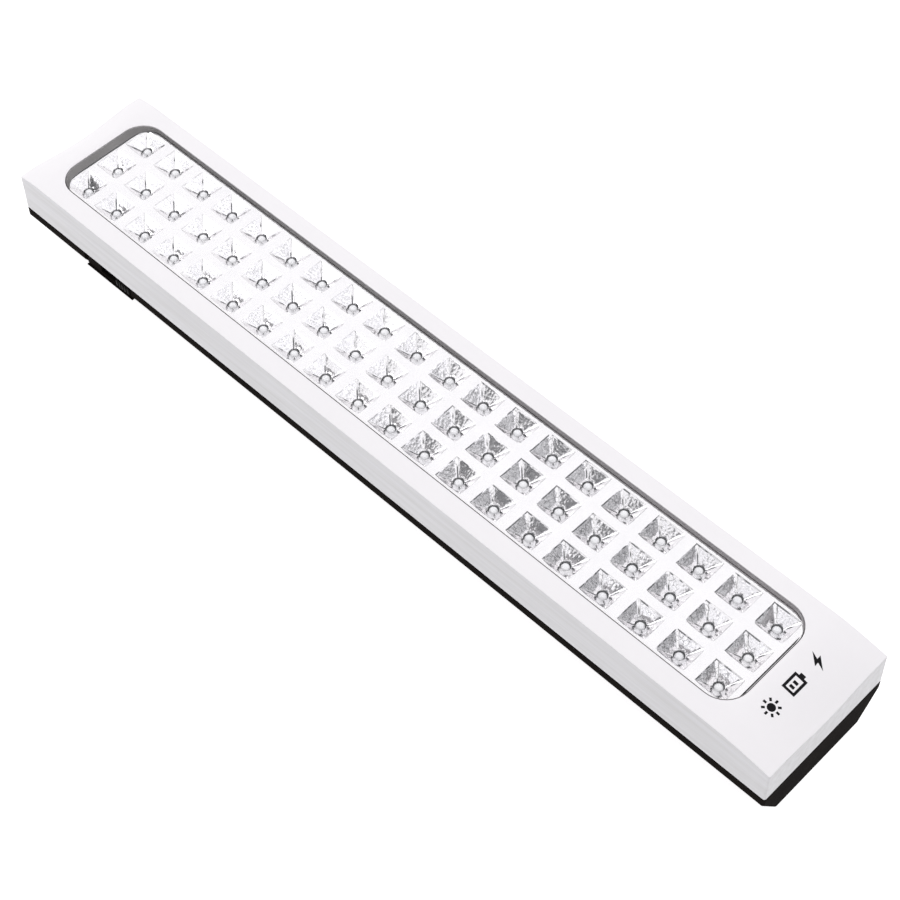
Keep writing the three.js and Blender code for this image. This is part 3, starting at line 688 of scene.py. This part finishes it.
def make_reflector():
    """One sheet: ribs and square funnels above, the same shape a wall lower beneath."""
    levels = cup_profile()
    count = len(levels[0])
    points = []
    faces = []
    for cx, cy in cup_centres():
        first = len(points)
        for ring in levels:
            points.extend((cx + x, cy + y, RIB_Z - depth) for x, y, depth in ring)
        for ring in reversed(levels):
            points.extend((cx + x, cy + y, RIB_Z - depth - REFLECTOR_SHEET) for x, y, depth in ring)
        rings = 2 * len(levels)
        for i in range(rings - 1):
            for k in range(count):
                n = (k + 1) % count
                a = first + i * count
                b = a + count
                faces.append((a + k, a + n, b + n, b + k))
    sheet = clean(mesh_object("reflector_cups", points, faces), 0.01)
    close_border(sheet)
    frame_ring = window_outline(GASKET_GAP + 0.15)
    keep = loft("keep", [level(frame_ring, 10), level(frame_ring, 40)], True, True)
    carved(sheet, keep, "INTERSECT")
    inner_ring = window_outline(GASKET_GAP + 0.6)
    frame_ring = window_outline(GASKET_GAP + 0.16)
    low, high = RIB_Z - 5.0, RIB_Z - 0.1
    corners = ((frame_ring, low), (frame_ring, high), (inner_ring, high), (inner_ring, low))
    skirt = loft("skirt", [level(ring, z) for ring, z in corners], wrap=True)
    return carved(sheet, skirt, "UNION")


def close_border(obj):
    """Joins the upper and lower edges of the sheet round its outside."""
    bm = bmesh.new()
    bm.from_mesh(obj.data)
    border = [edge for edge in bm.edges if edge.is_boundary]
    if border:
        bmesh.ops.bridge_loops(bm, edges=border)
    bmesh.ops.recalc_face_normals(bm, faces=bm.faces)
    bm.to_mesh(obj.data)
    bm.free()


def make_lamps():
    """Sixty clear lamps with a rim at the foot, a straight body and a domed tip."""
    top = LAMP_TIP_Z - LAMP_BOARD_TOP_Z
    foot = LAMP_FOOT_RADIUS
    straight = top - LAMP_RADIUS
    profile = [(0, 0.02), (foot, 0.02), (foot, 0.7), (LAMP_RADIUS, 0.8), (LAMP_RADIUS, straight)]
    for k in range(1, 6):
        a = math.radians(15 * k)
        profile.append((LAMP_RADIUS * math.cos(a), straight + LAMP_RADIUS * math.sin(a)))
    profile.append((0, top))
    places = [(x, y, LAMP_BOARD_TOP_Z) for x, y in cup_centres()]
    return joined("lamp_domes", [turned("lamp", profile, place, "Z", 20) for place in places])


def make_lamp_dies():
    """The small pale square inside each lamp's foot."""
    half = 0.5
    low = LAMP_BOARD_TOP_Z + 1.0
    high = LAMP_BOARD_TOP_Z + 1.6
    dies = []
    for x, y in cup_centres():
        dies.append(block("die", (x - half, y - half, low), (x + half, y + half, high), 0.12, 2))
    return joined("lamp_dies", dies)


def make_led_board():
    outline = rounded_outline(
        (BOARD_HIGH.x - BOARD_LOW.x) / 2, (BOARD_HIGH.y - BOARD_LOW.y) / 2, 1.0,
        (BOARD_HIGH.x + BOARD_LOW.x) / 2, (60, 10, 5),
    )
    top = LAMP_BOARD_TOP_Z
    loops = [level(outline, top - BOARD_THICKNESS), level(outline, top)]
    board = loft("led_board_laminate", loops, True, True)
    for index in range(1, 5):
        x, y = middle_xy(f"board_screw_{index}")
        carved(board, turned("hole", rod(1.4, top - 3, top + 1), (x, y, 0), "Z", 20))
    return board


# ---- Printed symbols ----
def symbol_prism(name, outline):
    """A thin printed shape that follows the curved top face."""
    loops = [draped(outline, top_height, -PRINT_SINK), draped(outline, top_height, PRINT_RISE)]
    return loft(name, loops, True, True)


def disc(cx, cy, radius, count=28):
    angles = [2 * math.pi * k / count for k in range(count)]
    return [(cx + radius * math.cos(a), cy + radius * math.sin(a)) for a in angles]


def stroke(x0, y0, x1, y1, width):
    """A straight printed stroke with blunt ends, split so that it can bend with the surface."""
    length = math.hypot(x1 - x0, y1 - y0)
    ux, uy = (x1 - x0) / length, (y1 - y0) / length
    nx, ny = -uy * width / 2, ux * width / 2
    steps = 4
    along = [k / steps for k in range(steps + 1)]
    out = [(x0 + (x1 - x0) * t + nx, y0 + (y1 - y0) * t + ny) for t in along]
    back = [(x0 + (x1 - x0) * t - nx, y0 + (y1 - y0) * t - ny) for t in reversed(along)]
    return out + back


def sun_symbol(cx, cy):
    """A disc with eight short rays."""
    core, ray_from, ray_to, line = 1.35, 1.9, 3.0, 0.75
    parts = [symbol_prism("core", disc(cx, cy, core))]
    for k in range(8):
        a = math.radians(45 * k)
        c, s = math.cos(a), math.sin(a)
        ray = stroke(cx + ray_from * c, cy + ray_from * s, cx + ray_to * c, cy + ray_to * s, line)
        parts.append(symbol_prism("ray", ray))
    return parts


def battery_symbol(cx, cy):
    """A cell outline with two charge bars, its cap towards +Y."""
    half_y, half_x, line = 3.2, 1.9, 0.85
    inner = half_x - line / 2
    end = half_y - 0.42
    bars = [(inner, -end, line), (inner, end, line), (0.9, half_y + 0.5, 1.0)]
    bars += [(0.8, -1.2, 1.0), (0.8, 0.5, 1.0)]
    strokes = [stroke(cx + dx, cy - half_y, cx + dx, cy + half_y, line) for dx in (-half_x, half_x)]
    strokes += [stroke(cx - half, cy + dy, cx + half, cy + dy, width) for half, dy, width in bars]
    return [symbol_prism("bar", outline) for outline in strokes]


def bolt_symbol(cx, cy):
    """A lightning sign with its tip towards +X."""
    outline = [(-3.0, 1.3), (0.55, -1.9), (0.45, -0.35), (3.1, -1.3), (-0.45, 1.9), (-0.4, 0.35)]
    return [symbol_prism("bolt", [(cx + x, cy + y) for x, y in outline])]


def make_symbols():
    parts = sun_symbol(PRINT_X, -PRINT_PITCH)
    parts += battery_symbol(PRINT_X, 0.0)
    parts += bolt_symbol(PRINT_X, PRINT_PITCH)
    return joined("printed_symbols", parts)


# ---- Switch ----
def make_switch_plate():
    plate = block("switch_plate_moulding", PLATE_LOW, PLATE_HIGH, 0.35, 3)
    slot_low = (KNOB_LOW.x - KNOB_TRAVEL - 0.5, -HALF_WIDTH - 1, 11.6)
    slot_high = (KNOB_HIGH.x + 0.5, -HALF_WIDTH + 3, 15.1)
    return carved(plate, block("slot", slot_low, slot_high, 0.3, 2))


def make_knob():
    low, high = KNOB_LOW, KNOB_HIGH
    middle = (low.x + high.x) / 2
    cap = block("switch_knob_cap", (low.x, low.y, 11.9), (high.x, PLATE_HIGH.y, 14.8), 0.3, 3)
    for dx in KNOB_GROOVES:
        x = middle + dx
        carved(cap, block("groove", (x - 0.3, low.y - 1, 11.0), (x + 0.3, low.y + 0.42, 16.0), 0.12, 2))
    neck_low = (middle - KNOB_NECK_HALF, PLATE_HIGH.y - 0.5, 12.2)
    neck_high = (middle + KNOB_NECK_HALF, high.y, 14.5)
    return carved(cap, block("neck", neck_low, neck_high, 0.2, 2), "UNION")


# ---- Inlet and lamp at the far end ----
def make_inlet():
    low, high = INLET_LOW, INLET_HIGH
    body = block("inlet_socket_body", low, high, 0.6, 4)
    mouth = block(
        "mouth", (low.x - 2, low.y + 1.2, low.z + 1.2), (high.x - 1.8, high.y - 1.2, high.z - 1.2), 0.8, 4
    )
    carved(body, mouth)
    centre_z = (low.z + high.z) / 2
    for index in (1, 2):
        pin_low, pin_high = box_mm(f"inlet_pin_{index}")
        y = (pin_low.y + pin_high.y) / 2
        radius = (pin_high.z - pin_low.z) / 2 + 0.2
        carved(body, turned("hole", rod(radius, -160, -145), (0, y, centre_z), "X", 24))
    return body


def round_nosed(name, node_name, nose, tail, segments):
    """A bar along X in the place of a CAD node, with a domed far end and a bevelled tail."""
    low, high = box_mm(node_name)
    radius = (high.z - low.z) / 2
    profile = [(0, low.x)]
    for k in range(1, 7):
        a = math.radians(15 * k)
        profile.append((radius * math.sin(a), low.x + radius * nose * (1 - math.cos(a))))
    if tail > 0:
        profile.append((radius, high.x - tail))
    profile += [(radius - tail, high.x), (0, high.x)]
    centre = (0, (low.y + high.y) / 2, (low.z + high.z) / 2)
    return turned(name, profile, centre, "X", segments)


def make_pin(index):
    return round_nosed(f"inlet_pin_turned_{index}", f"inlet_pin_{index}", 1.0, 0.2, 28)


def make_indicator():
    return round_nosed("charge_indicator_lamp", "charge_indicator", 0.7, 0.0, 32)


def make_thread(x, y, low, high, radius):
    """A coarse ridge that winds up a shank between two heights."""
    pitch = radius * 0.62
    turns = int((high - 1.4 - low - 0.4) / pitch)
    steps = 18
    section = ((radius * 0.76, -pitch * 0.32), (radius, 0.0), (radius * 0.76, pitch * 0.32))
    points = []
    for k in range(turns * steps + 1):
        a = 2 * math.pi * k / steps
        z = low + 0.5 + pitch * k / steps
        points += [(x + r * math.cos(a), y + r * math.sin(a), z + dz) for r, dz in section]
    faces = []
    for k in range(turns * steps):
        a = k * 3
        for i in range(3):
            n = (i + 1) % 3
            faces.append((a + i, a + n, a + 3 + n, a + 3 + i))
    last = turns * steps * 3
    faces += [(2, 1, 0), (last, last + 1, last + 2)]
    return mesh_object("thread", points, faces)


def make_screw(node_name, name, head_radius, head_height, shank_radius):
    """A pan-head screw with a cross recess and a coarse thread, driven upwards."""
    low, high = box_mm(node_name)
    x, y = middle_xy(node_name)
    top = low.z + head_height
    core = shank_radius * 0.8
    profile = [
        (0, low.z), (head_radius * 0.6, low.z + 0.03), (head_radius * 0.88, low.z + 0.25 * head_height),
        (head_radius, low.z + 0.62 * head_height), (head_radius, top),
        (core, top), (core, high.z - 1.2), (0, high.z),
    ]
    head = turned(name, profile, (x, y, 0), "Z", 36)
    arm = head_radius * 0.58
    width = head_radius * 0.11
    bottom = low.z + head_height * 0.55
    for size_x, size_y in ((arm, width), (width, arm)):
        slot = block("slot", (x - size_x, y - size_y, low.z - 1), (x + size_x, y + size_y, bottom), 0.0)
        carved(head, slot)
    return joined(name, [head, make_thread(x, y, top, high.z, shank_radius)])


# ---- Materials ----
def node(tree, kind, inputs, **settings):
    """A new node. Each of its inputs takes a plain value or another node's output."""
    made = tree.nodes.new(kind)
    for key, value in settings.items():
        setattr(made, key, value)
    for key, value in inputs.items():
        if isinstance(value, bpy.types.NodeSocket):
            tree.links.new(value, made.inputs[key])
        else:
            made.inputs[key].default_value = value
    return made


def noise(tree, place, scale, detail=4.0, roughness=0.55, stretch=(1, 1, 1)):
    """Noise in the object's own metres, with an optional stretch of its grain."""
    vector = node(tree, "ShaderNodeMapping", {"Vector": place, "Scale": stretch}).outputs["Vector"]
    inputs = {"Vector": vector, "Scale": scale, "Detail": detail, "Roughness": roughness}
    return node(tree, "ShaderNodeTexNoise", inputs).outputs["Fac"]


def math_node(tree, operation, first, second=0.0):
    return node(tree, "ShaderNodeMath", {0: first, 1: second}, operation=operation).outputs["Value"]


def product(tree, first, *others):
    for other in others:
        first = math_node(tree, "MULTIPLY", first, other)
    return first


def distance(tree, first, second):
    return math_node(tree, "ABSOLUTE", math_node(tree, "SUBTRACT", first, second))


def ramp(tree, share, low, high, low_at=0.35, high_at=0.65):
    """A change between two colours."""
    made = node(tree, "ShaderNodeValToRGB", {"Fac": share})
    for element, place, colour in zip(made.color_ramp.elements, (low_at, high_at), (low, high)):
        element.position = place
        element.color = (*colour, 1)
    return made.outputs["Color"]


def rescaled(tree, value, from_low, from_high, to_low, to_high, **settings):
    """A value's range moved onto another range."""
    made = node(tree, "ShaderNodeMapRange", {"Value": value}, **settings)
    ends = {"From Min": from_low, "From Max": from_high, "To Min": to_low, "To Max": to_high}
    for key, end in ends.items():
        made.inputs[key].default_value = end
    return made.outputs["Result"]


def falloff(tree, value, near, far):
    """One up to the near value, falling smoothly to nothing at the far one."""
    return rescaled(tree, value, near, far, 1.0, 0.0, interpolation_type="SMOOTHSTEP")


def mixed(tree, share, under, over):
    """One colour laid over another by a share from nought to one."""
    inputs = {"Fac": share, "Color1": under, "Color2": over}
    return node(tree, "ShaderNodeMixRGB", inputs).outputs["Color"]


def object_place(tree):
    """The place on the object in its own metres."""
    return node(tree, "ShaderNodeTexCoord", {}).outputs["Object"]


def split_axes(tree, vector):
    return node(tree, "ShaderNodeSeparateXYZ", {"Vector": vector}).outputs


def relief(tree, height, strength, **inputs):
    inputs = {"Height": height, "Strength": strength, "Distance": RELIEF_DEPTH, **inputs}
    return node(tree, "ShaderNodeBump", inputs).outputs["Normal"]


def surface(
    name, colour, shade, roughness, metallic=0.0, grain=900.0, bump=0.05, stretch=(1, 1, 1),
    patch=60.0, cells=0.0, **sockets,
):
    """Two tones in soft patches, with fine grain in roughness and bump. Cells add hammered dents."""
    made = bpy.data.materials.new(name)
    made.use_nodes = True
    tree = made.node_tree
    shader = tree.nodes["Principled BSDF"]
    place = object_place(tree)
    patches = noise(tree, place, patch, 5.0, 0.6, stretch)
    fine = noise(tree, place, grain, 3.0, 0.6, stretch)
    under = {}
    if cells > 0:
        hammered = node(tree, "ShaderNodeTexVoronoi", {"Vector": place, "Scale": HAMMER_SCALE})
        under["Normal"] = relief(tree, hammered.outputs["Distance"], cells)
    tree.links.new(relief(tree, fine, bump, **under), shader.inputs["Normal"])
    tree.links.new(ramp(tree, patches, shade, colour), shader.inputs["Base Color"])
    tree.links.new(rescaled(tree, fine, 0.3, 0.7, *roughness), shader.inputs["Roughness"])
    shader.inputs["Metallic"].default_value = metallic
    for key, value in sockets.items():
        shader.inputs[key.replace("_", " ")].default_value = value
    return made


def recolour(material, share, colour):
    """Lays a colour over a finish's own tones."""
    tree = material.node_tree
    socket = tree.nodes["Principled BSDF"].inputs["Base Color"]
    tree.links.new(mixed(tree, share, socket.links[0].from_socket, (*colour, 1)), socket)


def paint_light_towards_plain_end(material):
    """Painted light: fades a finish to a paler grey towards the plain end."""
    tree = material.node_tree
    x = split_axes(tree, object_place(tree))["X"]
    recolour(material, falloff(tree, x, 0.14, -0.08), (0.36, 0.345, 0.352))


def wall_share(tree, place, centre, pitch, half, floor):
    """How far a place is from the cup's rim to its floor along one axis, from nought to one."""
    off = math_node(tree, "SUBTRACT", place, centre * MM)
    off = math_node(tree, "PINGPONG", off, pitch / 2 * MM)
    return math_node(tree, "DIVIDE", math_node(tree, "SUBTRACT", half * MM, off), (half - floor) * MM)


# Painted reflection: a crackled pattern of thin dark lines for the cups' far walls.
def crackled_reflection_lines(tree, place):
    """Thin lines between small uneven cells."""
    drift = node(tree, "ShaderNodeTexNoise", {"Vector": place, "Scale": REFLECTION_CRACK_DRIFT_SCALE})
    inputs = {0: drift.outputs["Color"], 1: (REFLECTION_CRACK_DRIFT,) * 3, 2: place}
    moved = node(tree, "ShaderNodeVectorMath", inputs, operation="MULTIPLY_ADD")
    inputs = {"Vector": moved.outputs["Vector"], "Scale": REFLECTION_CRACK_SCALE}
    cells = node(tree, "ShaderNodeTexVoronoi", inputs, feature="DISTANCE_TO_EDGE")
    return falloff(tree, cells.outputs["Distance"], 0.02, 0.085)


def add_painted_cup_shade(material):
    """Painted shade and reflection: dark broken lines along the cups' rims and creases, and fine crackled
    dark lines painted as reflection on their far walls.

    The painted rim lines and the painted crackled reflection are fainter in the far half of the light.
    """
    tree = material.node_tree
    place = object_place(tree)
    axes = split_axes(tree, place)
    centre_x, centre_y = cup_centres()[0]
    share_x = wall_share(tree, axes["X"], centre_x, CUP_PITCH_X, CUP_HALF_X, CUP_FLOOR_X)
    share_y = wall_share(tree, axes["Y"], centre_y, CUP_PITCH_Y, CUP_HALF_Y, CUP_FLOOR_Y)
    depth = math_node(tree, "MINIMUM", share_x, share_y)
    turn = product(tree, math_node(tree, "SUBTRACT", axes["X"], centre_x * MM), CUP_TURN)
    far_wall = falloff(tree, math_node(tree, "SINE", turn), 0.0, 0.5)
    plain_half = math_node(tree, "MAXIMUM", falloff(tree, axes["X"], 0.03, -0.045), 0.22)
    spots = noise(tree, place, SPOT_SCALE, 2.0, 0.5)

    # Painted shade: dark lines along the cup creases towards the lamp, and round the rims.
    off_crease = distance(tree, share_x, share_y)
    crease_shade = product(tree, falloff(tree, off_crease, 0.05, 0.13), falloff(tree, depth, 0.6, 0.3))
    rim = falloff(tree, math_node(tree, "ABSOLUTE", depth), 0.02, 0.07)
    rim = product(tree, rim, plain_half, math_node(tree, "MAXIMUM", far_wall, 0.35))
    lines = product(tree, math_node(tree, "MAXIMUM", crease_shade, rim), falloff(tree, spots, 0.56, 0.44))
    # Painted reflection: crackled dark lines on the far walls, stronger in the plain half.
    reflection_cracks = product(tree, crackled_reflection_lines(tree, place), falloff(tree, depth, 0.12, 0.0), far_wall)
    reflection_cracks = product(tree, reflection_cracks, falloff(tree, spots, 0.45, 0.55), plain_half, REFLECTION_CRACK_STRENGTH)
    # Lays the painted shade and painted reflection lines in near-black over the reflector's tones.
    recolour(material, math_node(tree, "MAXIMUM", lines, reflection_cracks), (0.06, 0.06, 0.064))


WHITE = surface(
    "white_plastic", (0.865, 0.845, 0.862), (0.852, 0.832, 0.85), (0.36, 0.48),
    grain=1400, bump=0.12, patch=28,
)
# Painted shade: a darker copy of the white plastic for the upright sides, with fine streaks along X.
WHITE_PAINTED_SIDE_SHADE = surface(
    "white_plastic_painted_side_shade", (0.645, 0.64, 0.658), (0.575, 0.568, 0.575), (0.4, 0.56),
    grain=900, bump=0.3, stretch=(0.035, 1, 1), patch=480,
)
BLACK = surface(
    "black_plastic", (0.0105, 0.0085, 0.0075), (0.0075, 0.006, 0.0055), (0.5, 0.68),
    grain=2600, bump=0.3, Specular_IOR_Level=0.004,
)
GREY_RUBBER = surface(
    "grey_gasket", (0.25, 0.243, 0.242), (0.195, 0.188, 0.188), (0.55, 0.72),
    grain=1500, bump=0.3, stretch=(0.15, 1, 1), Specular_IOR_Level=0.3,
)
# Painted light on the gasket: a paler grey towards the plain end.
paint_light_towards_plain_end(GREY_RUBBER)
MIRROR = surface(
    "metallised_reflector", (0.915, 0.9, 0.91), (0.885, 0.87, 0.885), (0.05, 0.1), 1.0,
    grain=500, bump=0.08, patch=120, cells=0.2,
)
# Painted shade along the cup rims and creases, and painted crackled reflections on the far walls.
add_painted_cup_shade(MIRROR)
CLEAR = surface(
    "clear_lens", (0.96, 0.97, 1.0), (0.94, 0.96, 1.0), (0.03, 0.07), grain=400, bump=0.02, Alpha=0.05,
)
LAMP = surface(
    "lamp_epoxy", (0.97, 0.97, 0.98), (0.93, 0.93, 0.95), (0.1, 0.2), grain=700, bump=0.03, Coat_Weight=0.5,
)
PHOSPHOR = surface("lamp_die", (0.85, 0.72, 0.28), (0.78, 0.64, 0.2), (0.4, 0.5))
LAMINATE = surface(
    "lamp_board", (0.05, 0.06, 0.05), (0.035, 0.045, 0.04), (0.35, 0.5), grain=1200, bump=0.1,
)
INK = surface(
    "printed_ink", (0.008, 0.007, 0.009), (0.004, 0.004, 0.005), (0.4, 0.55),
    grain=1500, bump=0.3, patch=900, Specular_IOR_Level=0.1,
)
STEEL = surface(
    "steel_screw", (0.66, 0.66, 0.67), (0.55, 0.55, 0.56), (0.22, 0.36), 1.0, grain=2200, bump=0.15,
)
KNOB = surface(
    "knob_plastic", (0.011, 0.0105, 0.01), (0.008, 0.0075, 0.007), (0.45, 0.58),
    grain=2600, bump=0.25, Specular_IOR_Level=0.05,
)
SOCKET = surface(
    "inlet_plastic", (0.011, 0.0105, 0.0105), (0.008, 0.0075, 0.0075), (0.42, 0.55),
    grain=2400, bump=0.2, Specular_IOR_Level=0.05,
)
NICKEL = surface(
    "nickel", (0.72, 0.7, 0.64), (0.6, 0.58, 0.53), (0.2, 0.34), 1.0,
    grain=1800, bump=0.1, stretch=(0.2, 1, 1),
)
RED = surface(
    "red_lamp", (0.62, 0.03, 0.02), (0.5, 0.02, 0.015), (0.08, 0.14), grain=800, bump=0.03, Coat_Weight=0.4,
)
GREEN_SLEEVE = surface(
    "cell_sleeve", (0.05, 0.34, 0.16), (0.04, 0.28, 0.13), (0.22, 0.32), grain=900, bump=0.06,
)
TAN_BOARD = surface(
    "circuit_board", (0.62, 0.5, 0.26), (0.52, 0.41, 0.2), (0.4, 0.56), grain=1600, bump=0.2,
)
FOAM = surface("foam", (0.05, 0.05, 0.055), (0.03, 0.03, 0.034), (0.85, 0.98), grain=1500, bump=1.0)
YELLOW = surface("yellow_film", (0.72, 0.4, 0.04), (0.62, 0.33, 0.03), (0.24, 0.36), grain=900, bump=0.1)
CHIP = surface(
    "component_black", (0.02, 0.02, 0.022), (0.014, 0.014, 0.015), (0.5, 0.65), grain=3000, bump=0.4,
)
BLUE = surface("blue_sleeve", (0.04, 0.09, 0.34), (0.03, 0.07, 0.27), (0.22, 0.32), grain=900, bump=0.06)
BROWN = surface(
    "resistor_brown", (0.46, 0.29, 0.14), (0.38, 0.23, 0.11), (0.35, 0.5), grain=1500, bump=0.15,
)
WIRE_TONES = {
    "battery_wire_negative": ("wire_black", (0.02, 0.02, 0.02), (0.014, 0.014, 0.014)),
    "battery_wire_positive": ("wire_red", (0.5, 0.025, 0.02), (0.42, 0.02, 0.016)),
    "inlet_wire_live": ("wire_brown", (0.17, 0.07, 0.03), (0.13, 0.055, 0.024)),
    "inlet_wire_neutral": ("wire_blue", (0.035, 0.09, 0.34), (0.03, 0.07, 0.28)),
}
WIRES = {wire: surface(*tones, (0.34, 0.46)) for wire, tones in WIRE_TONES.items()}


# ---- Putting pieces in ----
def fit(obj, finish, body="casing", nodes=(), degrees=32):
    """Gives a piece its finish and its body, and hides the CAD nodes it stands for."""
    obj.data.materials.clear()
    obj.data.materials.append(finish)
    soften(obj, degrees)
    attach(obj, body)
    if nodes:
        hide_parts(*nodes)


def paint_shade_on_side_bands(shell):
    """The upright outer faces take the finely streaked side finish, a darker copy of the white plastic that
    paints their shade.
    """
    shell.data.materials.append(WHITE_PAINTED_SIDE_SHADE)
    reach_x = (HALF_LENGTH - WALL / 2) * MM
    reach_y = (HALF_WIDTH - WALL / 2) * MM
    for face in shell.data.polygons:
        outside = abs(face.center.x) > reach_x or abs(face.center.y) > reach_y
        if outside and abs(face.normal.z) < 0.6:
            face.material_index = 1


def build_light():
    top = add_top_details(make_top_shell())
    fit(top, WHITE, nodes=["top_shell"])
    paint_shade_on_side_bands(top)
    base = make_base_fittings(make_base_shell())
    fit(base, BLACK, nodes=["base_shell"])
    fit(make_gasket(), GREY_RUBBER, nodes=["window_gasket"])
    fit(make_lens(), CLEAR, nodes=["lens"])
    fit(make_reflector(), MIRROR, nodes=["reflector"], degrees=38)
    fit(make_led_board(), LAMINATE, nodes=["led_board"])
    fit(make_lamps(), LAMP)
    fit(make_lamp_dies(), PHOSPHOR)
    fit(make_symbols(), INK)
    fit(make_switch_plate(), BLACK, nodes=["switch_plate"])
    fit(make_knob(), KNOB, "switch_slider", nodes=["switch_knob"])
    fit(make_inlet(), SOCKET, nodes=["inlet_housing"])
    for index in (1, 2):
        fit(make_pin(index), NICKEL, nodes=[f"inlet_pin_{index}"])
    fit(make_indicator(), RED, nodes=["charge_indicator"])
    for index in range(1, 5):
        for kind, sizes in SCREW_SIZES.items():
            screw = make_screw(f"{kind}_{index}", f"{kind}_turned_{index}", *sizes)
            fit(screw, STEEL, nodes=[f"{kind}_{index}"])


CARRIED_OVER = {
    "cell_sleeve": GREEN_SLEEVE,
    "nickel": NICKEL,
    "foam": FOAM,
    "circuit_board": TAN_BOARD,
    "yellow_film": YELLOW,
    "component_black": CHIP,
    "blue_sleeve": BLUE,
    "resistor_brown": BROWN,
}


def finish_cad_nodes():
    """Every CAD node that is still shown gets the finish of its slot."""
    slots = {row["node"]: row["material_slot"] for row in frame["record"]["subparts"]}
    for name, obj in frame["nodes"].items():
        finish = WIRES.get(name) or CARRIED_OVER.get(slots[name])
        if obj.hide_render or finish is None:
            continue
        for slot in obj.material_slots:
            slot.material = finish


# ---- Studio ----
def make_floor():
    """A wide sheet of paper that glows a little, so that it stays white in every view."""
    steps = FLOOR_STEPS
    row = steps + 1
    places = [-FLOOR_HALF + 2 * FLOOR_HALF * i / steps for i in range(row)]
    points = [(x, y, 0.0) for x in places for y in places]
    corners = [i * row + j for i in range(steps) for j in range(steps)]
    faces = [(a, a + row, a + row + 1, a + 1) for a in corners]
    floor = mesh_object("floor", points, faces)
    paper = surface(
        "floor_paper", (0.45, 0.45, 0.45), (0.44, 0.44, 0.44), (0.8, 0.9), grain=300, bump=0.02, patch=3,
        Specular_IOR_Level=0.2, Emission_Color=(1.0, 0.995, 1.0, 1.0), Emission_Strength=0.85,
    )
    floor.data.materials.append(paper)


def window_mask(tree, angle, centre, half, soft):
    """One inside the span of angles round the centre, falling to nothing over the soft edge."""
    away = distance(tree, angle, math.radians(centre))
    return falloff(tree, away, math.radians(half - soft / 2), math.radians(half + soft / 2))


def make_world():
    """A soft white dome, dark close to the horizon, with a few dimmer walls and openings."""
    world = bpy.data.worlds.new("studio")
    world.use_nodes = True
    SCENE.world = world
    tree = world.node_tree
    background = tree.nodes["Background"]
    direction = node(tree, "ShaderNodeTexCoord", {}).outputs["Generated"]
    axes = split_axes(tree, direction)
    azimuth = math_node(tree, "ARCTAN2", axes["Y"], axes["X"])
    elevation = math_node(tree, "ARCSINE", axes["Z"])
    dome = node(tree, "ShaderNodeValToRGB", {"Fac": axes["Z"]})
    dome.color_ramp.interpolation = "EASE"
    stops = [(0.0, 0.16), (0.07, 0.3), (0.2, 0.96), (1.0, 1.0)]
    while len(dome.color_ramp.elements) < len(stops):
        dome.color_ramp.elements.new(0.5)
    for element, (place, value) in zip(dome.color_ramp.elements, stops):
        element.position = place
        element.color = (value * 0.992, value * 0.99, value, 1)
    colour = dome.outputs["Color"]
    clutter = noise(tree, direction, 38.0, 2.0, 0.5)
    for centre, half, height, half_height, soft, dark, light in STUDIO_PATCHES:
        across = window_mask(tree, azimuth, centre, half, soft)
        upwards = window_mask(tree, elevation, height, half_height, soft)
        low, high = (dark, dark, dark * 1.03), (light, light, light * 1.03)
        spots = ramp(tree, clutter, low, high, 0.44, 0.56)
        colour = mixed(tree, product(tree, across, upwards), colour, spots)
    tree.links.new(colour, background.inputs["Color"])
    background.inputs["Strength"].default_value = STUDIO_STRENGTH


def make_key_light():
    """A soft box past the far end on the switch side, so that the far half is a little brighter."""
    data = bpy.data.lights.new("key", "AREA")
    data.size = KEY_LIGHT_SIZE
    data.energy = KEY_LIGHT_ENERGY
    light = new_object("key", data)
    turn = KEY_LIGHT_PLACE.to_track_quat("Z", "Y").to_matrix().to_4x4()
    light.matrix_world = Matrix.Translation(KEY_LIGHT_PLACE) @ turn


def make_camera():
    """Looks down at the plain end from the switch side."""
    azimuth = math.radians(CAMERA_AZIMUTH)
    elevation = math.radians(CAMERA_ELEVATION)
    roll = math.radians(CAMERA_ROLL)
    back = Vector((
        math.sin(azimuth) * math.cos(elevation),
        -math.cos(azimuth) * math.cos(elevation),
        math.sin(elevation),
    ))
    right = Vector((math.cos(azimuth), math.sin(azimuth), 0.0))
    up = back.cross(right)
    turned_right = right * math.cos(roll) + up * math.sin(roll)
    turned_up = back.cross(turned_right)
    data = bpy.data.cameras.new("camera")
    data.lens = CAMERA_LENS
    data.sensor_width = CAMERA_SENSOR
    data.clip_start = 0.01
    data.clip_end = 20.0
    camera = new_object("camera", data)
    axes = Matrix((turned_right, turned_up, back)).transposed()
    camera.matrix_world = Matrix.Translation(CAMERA_TARGET + back * CAMERA_DISTANCE) @ axes.to_4x4()
    SCENE.camera = camera


make_camera()
build_light()
finish_cad_nodes()
make_floor()
make_world()
make_key_light()
SCENE.view_settings.view_transform = "Standard"
